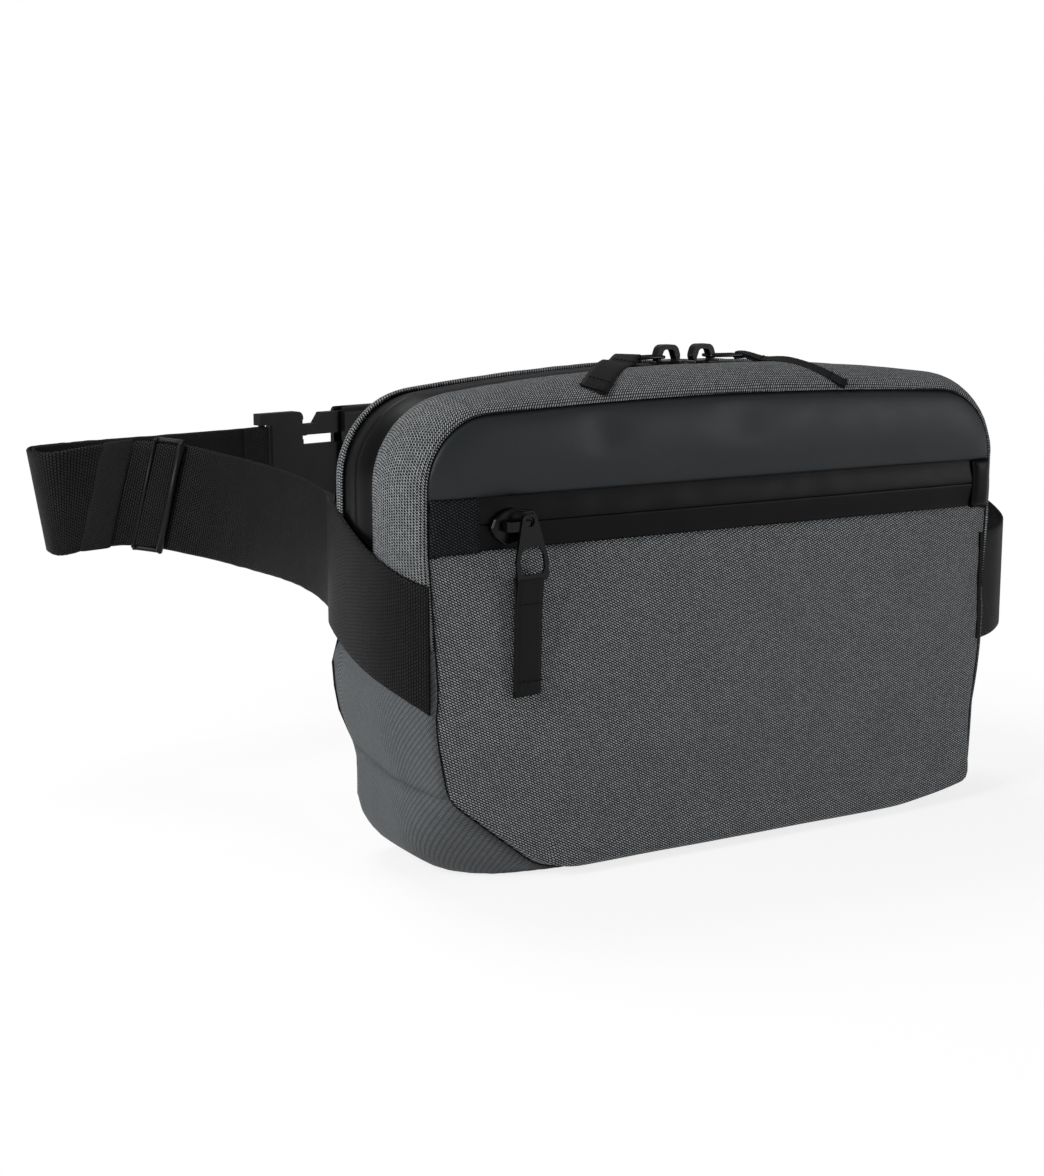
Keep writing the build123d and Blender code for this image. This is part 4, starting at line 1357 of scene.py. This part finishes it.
def make_slide(finish, lower, upper):
    """The three-bar slide: a rounded front bar on either side of the fold, a rear bar, and rails."""
    steps = 8
    index = SLIDE_AT * steps + 3
    low, high, ahead, outward = across_belt(lower, upper, index, 0.0)
    up = (high - low).normalized()
    bars = []
    for along_by, off, radius in ((-7.2, 2.8, 1.7), (7.2, 0.9, 1.0), (0.0, -3.0, 1.3)):
        start = low + ahead * along_by + outward * off - up * 0.9
        end = high + ahead * along_by + outward * off + up * 0.9
        bars.append(tube("slide_bar", [start, start.lerp(end, 0.5), end], radius, finish["acetal"], False,
                         14))
    for edge, way in ((low, -1), (high, 1)):
        corner = edge + up * way * 0.9
        path = [corner + ahead * -7.4 + outward * 2.2, corner + ahead * -5.0,
                corner + ahead * 5.0 - outward * 0.4,
                corner + ahead * 7.2 + outward * 0.9]
        bars.append(tube("slide_rail", curve_through(path, 4), 1.3, finish["acetal"], False, 12))
    slide = joined("belt_slide_body", bars)
    return place_piece(slide, "triglide", "moulded_plastic", "belt_triglide")


def make_keeper(finish, lower, upper):
    """The elastic keeper that holds both layers of webbing."""
    steps = 8
    index = KEEPER_AT * steps - 1
    rows = []
    flats = []
    low, high, ahead, outward = across_belt(lower, upper, index, 0.0)
    up = (high - low).normalized()
    wide = (high - low).length
    section = [(-0.9, 1.3), (0.0, 1.7), (wide * 0.25, 1.75), (wide * 0.5, 1.8), (wide * 0.75, 1.75),
               (wide, 1.7),
               (wide + 0.9, 1.3), (wide + 1.2, -1.1), (wide + 0.9, -3.6), (wide, -4.0), (wide * 0.5, -4.1),
               (0.0, -4.0), (-0.9, -3.6), (-1.2, -1.1)]
    around = lengths([Vector(p) for p in section + [section[0]]])
    for r in range(9):
        along_by = mixed(-7.5, 7.5, r / 8)
        edge = 0.35 if r in (0, 8) else 0.0
        rows.append([low + ahead * along_by + up * (h + (edge if h < wide / 2 else -edge)) +
                     outward * (o - edge if o > 0 else o + edge) for h, o in section])
        flats.append([(along_by, mark) for mark in around])
    keeper = grid_piece("belt_keeper_band", rows, flats, finish["elastic"], True, 1.0, 1)
    return place_piece(keeper, "keeper", "elastic", "belt_keeper")


def make_belt(finish, wide_mm, thick_mm):
    """Left and right webbing with their folds round the slide and the buckle, the slide and the keeper."""
    lower, upper = belt_edges(LEFT_LINE, 0.0, 8, 0.25)
    outer = strap("belt_left_outer", lower, upper, thick_mm, finish["webbing"], 16)
    inner_lower, inner_upper = belt_edges(LEFT_LINE[15:], -2.3)
    inner = strap("belt_left_fold", inner_lower, inner_upper, thick_mm, finish["webbing"], 16)
    loop = buckle_loop("belt_left_loop", finish, wide_mm, thick_mm, 0.0, -1)
    left = joined("belt_left_webbing_cloth", [outer, inner, loop])
    place_piece(left, BAG, "webbing", "belt_left_webbing")
    make_slide(finish, lower, upper)
    make_keeper(finish, lower, upper)
    lower, upper = belt_edges(RIGHT_LINE)
    band = strap("belt_right_band", lower, upper, thick_mm, finish["webbing"], 16)
    right = joined("belt_right_webbing_cloth",
                   [band, buckle_loop("belt_right_loop", finish, wide_mm, thick_mm, 90.0, 1)])
    place_piece(right, BAG, "webbing", "belt_right_webbing")
    return left, right


BUCKLE_BAR = Vector((-78.0, 265.5, 132.0))
BUCKLE_RUN = Vector((72.0, 15.0, 0.0)).normalized()


def buckle_loop(name, finish, wide, thick, bar_at, sign):
    """Webbing that wraps a buckle's bar and lies back on itself."""
    across = Vector((-BUCKLE_RUN.y, BUCKLE_RUN.x, 0.0))
    bar = BUCKLE_BAR + BUCKLE_RUN * bar_at
    run = BUCKLE_RUN * -sign
    line = []
    for s in spread(12.5, 1.0, 6):
        line.append(bar - run * s + across * mixed(2.9, 1.15, eased(s / 12)))
    for i in range(1, 12):
        angle = math.pi * i / 12
        line.append(bar + run * 2.9 * math.sin(angle) + across * 2.9 * math.cos(angle))
    for s in spread(1.0, 12.5 if sign < 0 else 34.0, 8):
        line.append(bar - run * s - across * mixed(2.9, 1.15, eased(s / 12)))
    up = Vector((0, 0, wide / 2))
    return strap(name, [p - up for p in line], [p + up for p in line], thick, finish["webbing"], 16)


def restyle(name, material):
    """Give a solid that keeps its own shape a finer finish."""
    node = frame["nodes"][name]
    node = node if hasattr(node, "material_slots") else bpy.data.objects[name]
    for slot in node.material_slots:
        slot.material = material
    return node


# ------------------------------------------------------------------------------------------ stage


# Where the camera stands, in metres, how far it turns from straight ahead and dips, and its lens.
CAMERA_AT = (-0.495, -0.709, 0.260)
CAMERA_TURN = math.radians(30.6)
CAMERA_DIP = math.radians(10.2)
CAMERA_LENS = 61.2
# Each lamp's place and target, its width in metres and its power in watts.
LAMPS = (
    ("key", (-1.35, -0.25, 0.75), (-0.05, 0.0, 0.1), 0.5, 18.0),
    ("fill", (1.2, -1.1, 0.45), (0.1, 0.0, 0.1), 0.6, 8.0),
    ("rim", (-0.2, 0.7, 1.4), (0.0, 0.0, 0.15), 0.6, 9.0),
)
# Half width of the floor, and the distances over which it fades to white, in metres.
FLOOR_HALF = 6.0
FADE_FROM = 0.17
FADE_TO = 0.4


def make_stage():
    """Pale floor, soft lamps and the camera."""
    made, tree = new_tree("pale_floor")
    place = add(tree, "ShaderNodeTexCoord").outputs["Object"]
    away = add(tree, "ShaderNodeVectorMath", {"operation": "LENGTH"}, {0: place}).outputs["Value"]
    fade = add(
        tree, "ShaderNodeMapRange", {"From Min": FADE_FROM, "From Max": FADE_TO, "To Min": 0.8},
        {"Value": away}
    ).outputs["Result"]
    light = add(tree, "ShaderNodeLightPath")
    seen = add(tree, "ShaderNodeMath", {"operation": "MAXIMUM"},
               {0: light.outputs["Is Camera Ray"], 1: light.outputs["Is Glossy Ray"]}).outputs["Value"]
    seen = add(tree, "ShaderNodeMath", {"operation": "MAXIMUM"},
               {0: seen, 1: light.outputs["Is Transmission Ray"]}).outputs["Value"]
    share = add(tree, "ShaderNodeMath", {"operation": "MULTIPLY"}, {0: fade, 1: seen}).outputs["Value"]
    matt = add(tree, "ShaderNodeBsdfDiffuse", {"Color": (0.94, 0.94, 0.94, 1.0)})
    glow = add(tree, "ShaderNodeEmission", {"Color": (1.0, 1.0, 1.0, 1.0), "Strength": 1.0})
    mix = add(tree, "ShaderNodeMixShader", {},
              {0: share, 1: matt.outputs["BSDF"], 2: glow.outputs["Emission"]})
    add(tree, "ShaderNodeOutputMaterial", {}, {"Surface": mix.outputs["Shader"]})
    mesh = bpy.data.meshes.new("floor")
    half = FLOOR_HALF
    mesh.from_pydata([(-half, -half, 0), (half, -half, 0), (half, half, 0), (-half, half, 0)], [],
                     [(0, 1, 2, 3)])
    mesh.materials.append(made)
    floor = bpy.data.objects.new("floor", mesh)
    bpy.context.collection.objects.link(floor)

    world = bpy.data.worlds.new("studio")
    bpy.context.scene.world = world
    world.use_nodes = True
    tree = world.node_tree
    tree.nodes.clear()
    light = add(tree, "ShaderNodeLightPath")
    seen = add(tree, "ShaderNodeMath", {"operation": "MAXIMUM"},
               {0: light.outputs["Is Camera Ray"],
                1: light.outputs["Is Transmission Ray"]}).outputs["Value"]
    soft = add(tree, "ShaderNodeBackground", {"Color": (1.0, 1.0, 1.0, 1.0), "Strength": 0.3})
    white = add(tree, "ShaderNodeBackground", {"Color": (1.0, 1.0, 1.0, 1.0), "Strength": 1.0})
    mix = add(tree, "ShaderNodeMixShader", {},
              {0: seen, 1: soft.outputs["Background"], 2: white.outputs["Background"]})
    add(tree, "ShaderNodeOutputWorld", {}, {"Surface": mix.outputs["Shader"]})

    for name, where, target, size, power in LAMPS:
        lamp = bpy.data.lights.new(name, "AREA")
        lamp.size = size
        lamp.energy = power
        holder = bpy.data.objects.new(name, lamp)
        holder.location = where
        aim = Vector(target) - Vector(where)
        holder.rotation_euler = aim.to_track_quat("-Z", "Y").to_euler()
        bpy.context.collection.objects.link(holder)

    view = bpy.data.cameras.new("camera")
    view.sensor_fit = "VERTICAL"
    view.sensor_height = 36.0
    view.lens = CAMERA_LENS
    view.clip_start = 0.01
    camera = bpy.data.objects.new("camera", view)
    camera.location = CAMERA_AT
    level = math.cos(CAMERA_DIP)
    look = Vector((math.sin(CAMERA_TURN) * level, math.cos(CAMERA_TURN) * level, -math.sin(CAMERA_DIP)))
    camera.rotation_euler = look.to_track_quat("-Z", "Y").to_euler()
    bpy.context.collection.objects.link(camera)
    bpy.context.scene.camera = camera
    bpy.context.scene.view_settings.view_transform = "Standard"


# ------------------------------------------------------------------------------------------ add-on


def finishes():
    """The bag's materials, made once."""
    if not FINISHES:
        FINISHES.update(make_materials(bpy.context.scene.pack_colours))
    return FINISHES


FINISHES = {}


class PACK_OT_shell(bpy.types.Operator):
    """Make the bands, side panels and base"""

    bl_idname = "pack.shell"
    bl_label = "Bag shell"

    def execute(self, context):
        make_shell(finishes())
        return {"FINISHED"}


class PACK_OT_front(bpy.types.Operator):
    """Make the front panels and their seam cord"""

    bl_idname = "pack.front"
    bl_label = "Front panels"

    def execute(self, context):
        make_front(finishes(), context.scene.pack_sizes.panel_crown / MM)
        return {"FINISHED"}


class PACK_OT_back(bpy.types.Operator):
    """Make the padded back and the bag's inside layers"""

    bl_idname = "pack.back"
    bl_label = "Padded back"

    def execute(self, context):
        make_back(finishes())
        restyle("back_lining", finishes()["lining"])
        restyle("back_foam_pad", finishes()["lining"])
        restyle("pocket_divider", finishes()["lining"])
        return {"FINISHED"}


class PACK_OT_zips(bpy.types.Operator):
    """Make the zip tapes, coils and end tabs"""

    bl_idname = "pack.zips"
    bl_label = "Zips"

    def execute(self, context):
        make_main_zip(finishes())
        make_front_zip(finishes())
        return {"FINISHED"}


class PACK_OT_sliders(bpy.types.Operator):
    """Make the zip sliders, links, puller and ribbons"""

    bl_idname = "pack.sliders"
    bl_label = "Sliders and pulls"

    def execute(self, context):
        make_front_slider(finishes())
        make_main_sliders(finishes(), context.scene.pack_sizes.ribbon_wide / MM)
        return {"FINISHED"}


class PACK_OT_belt(bpy.types.Operator):
    """Make the belt webbing, slide, keeper and buckle"""

    bl_idname = "pack.belt"
    bl_label = "Belt"

    def execute(self, context):
        sizes = context.scene.pack_sizes
        make_belt(finishes(), sizes.webbing_wide / MM, sizes.webbing_thick / MM)
        for name in ("buckle_male", "buckle_female", "buckle_arm_upper", "buckle_arm_lower"):
            restyle(name, finishes()["acetal"])
        return {"FINISHED"}


class PACK_OT_stage(bpy.types.Operator):
    """Make the floor, lamps and camera"""

    bl_idname = "pack.stage"
    bl_label = "Stage"

    def execute(self, context):
        make_stage()
        return {"FINISHED"}


OPERATORS = (PACK_OT_shell, PACK_OT_front, PACK_OT_back, PACK_OT_zips, PACK_OT_sliders, PACK_OT_belt,
             PACK_OT_stage)


class PACK_PT_panel(bpy.types.Panel):
    """Sizes, colours and the steps that make the waist pack"""

    bl_label = "Waist pack"
    bl_idname = "PACK_PT_panel"
    bl_space_type = "VIEW_3D"
    bl_region_type = "UI"
    bl_category = "Waist pack"

    def draw(self, context):
        for group in (context.scene.pack_sizes, context.scene.pack_colours):
            for key in group.__annotations__:
                self.layout.prop(group, key)
        for operator in OPERATORS:
            self.layout.operator(operator.bl_idname)


CLASSES = (PackSizes, PackColours, *OPERATORS, PACK_PT_panel)


def register():
    for cls in CLASSES:
        bpy.utils.register_class(cls)
    bpy.types.Scene.pack_sizes = bpy.props.PointerProperty(type=PackSizes)
    bpy.types.Scene.pack_colours = bpy.props.PointerProperty(type=PackColours)


def unregister():
    del bpy.types.Scene.pack_colours
    del bpy.types.Scene.pack_sizes
    for cls in reversed(CLASSES):
        bpy.utils.unregister_class(cls)


def main():
    register()
    for operator in (bpy.ops.pack.shell, bpy.ops.pack.front, bpy.ops.pack.back, bpy.ops.pack.zips,
                     bpy.ops.pack.sliders, bpy.ops.pack.belt, bpy.ops.pack.stage):
        operator()


if __name__ == "__main__":
    main()
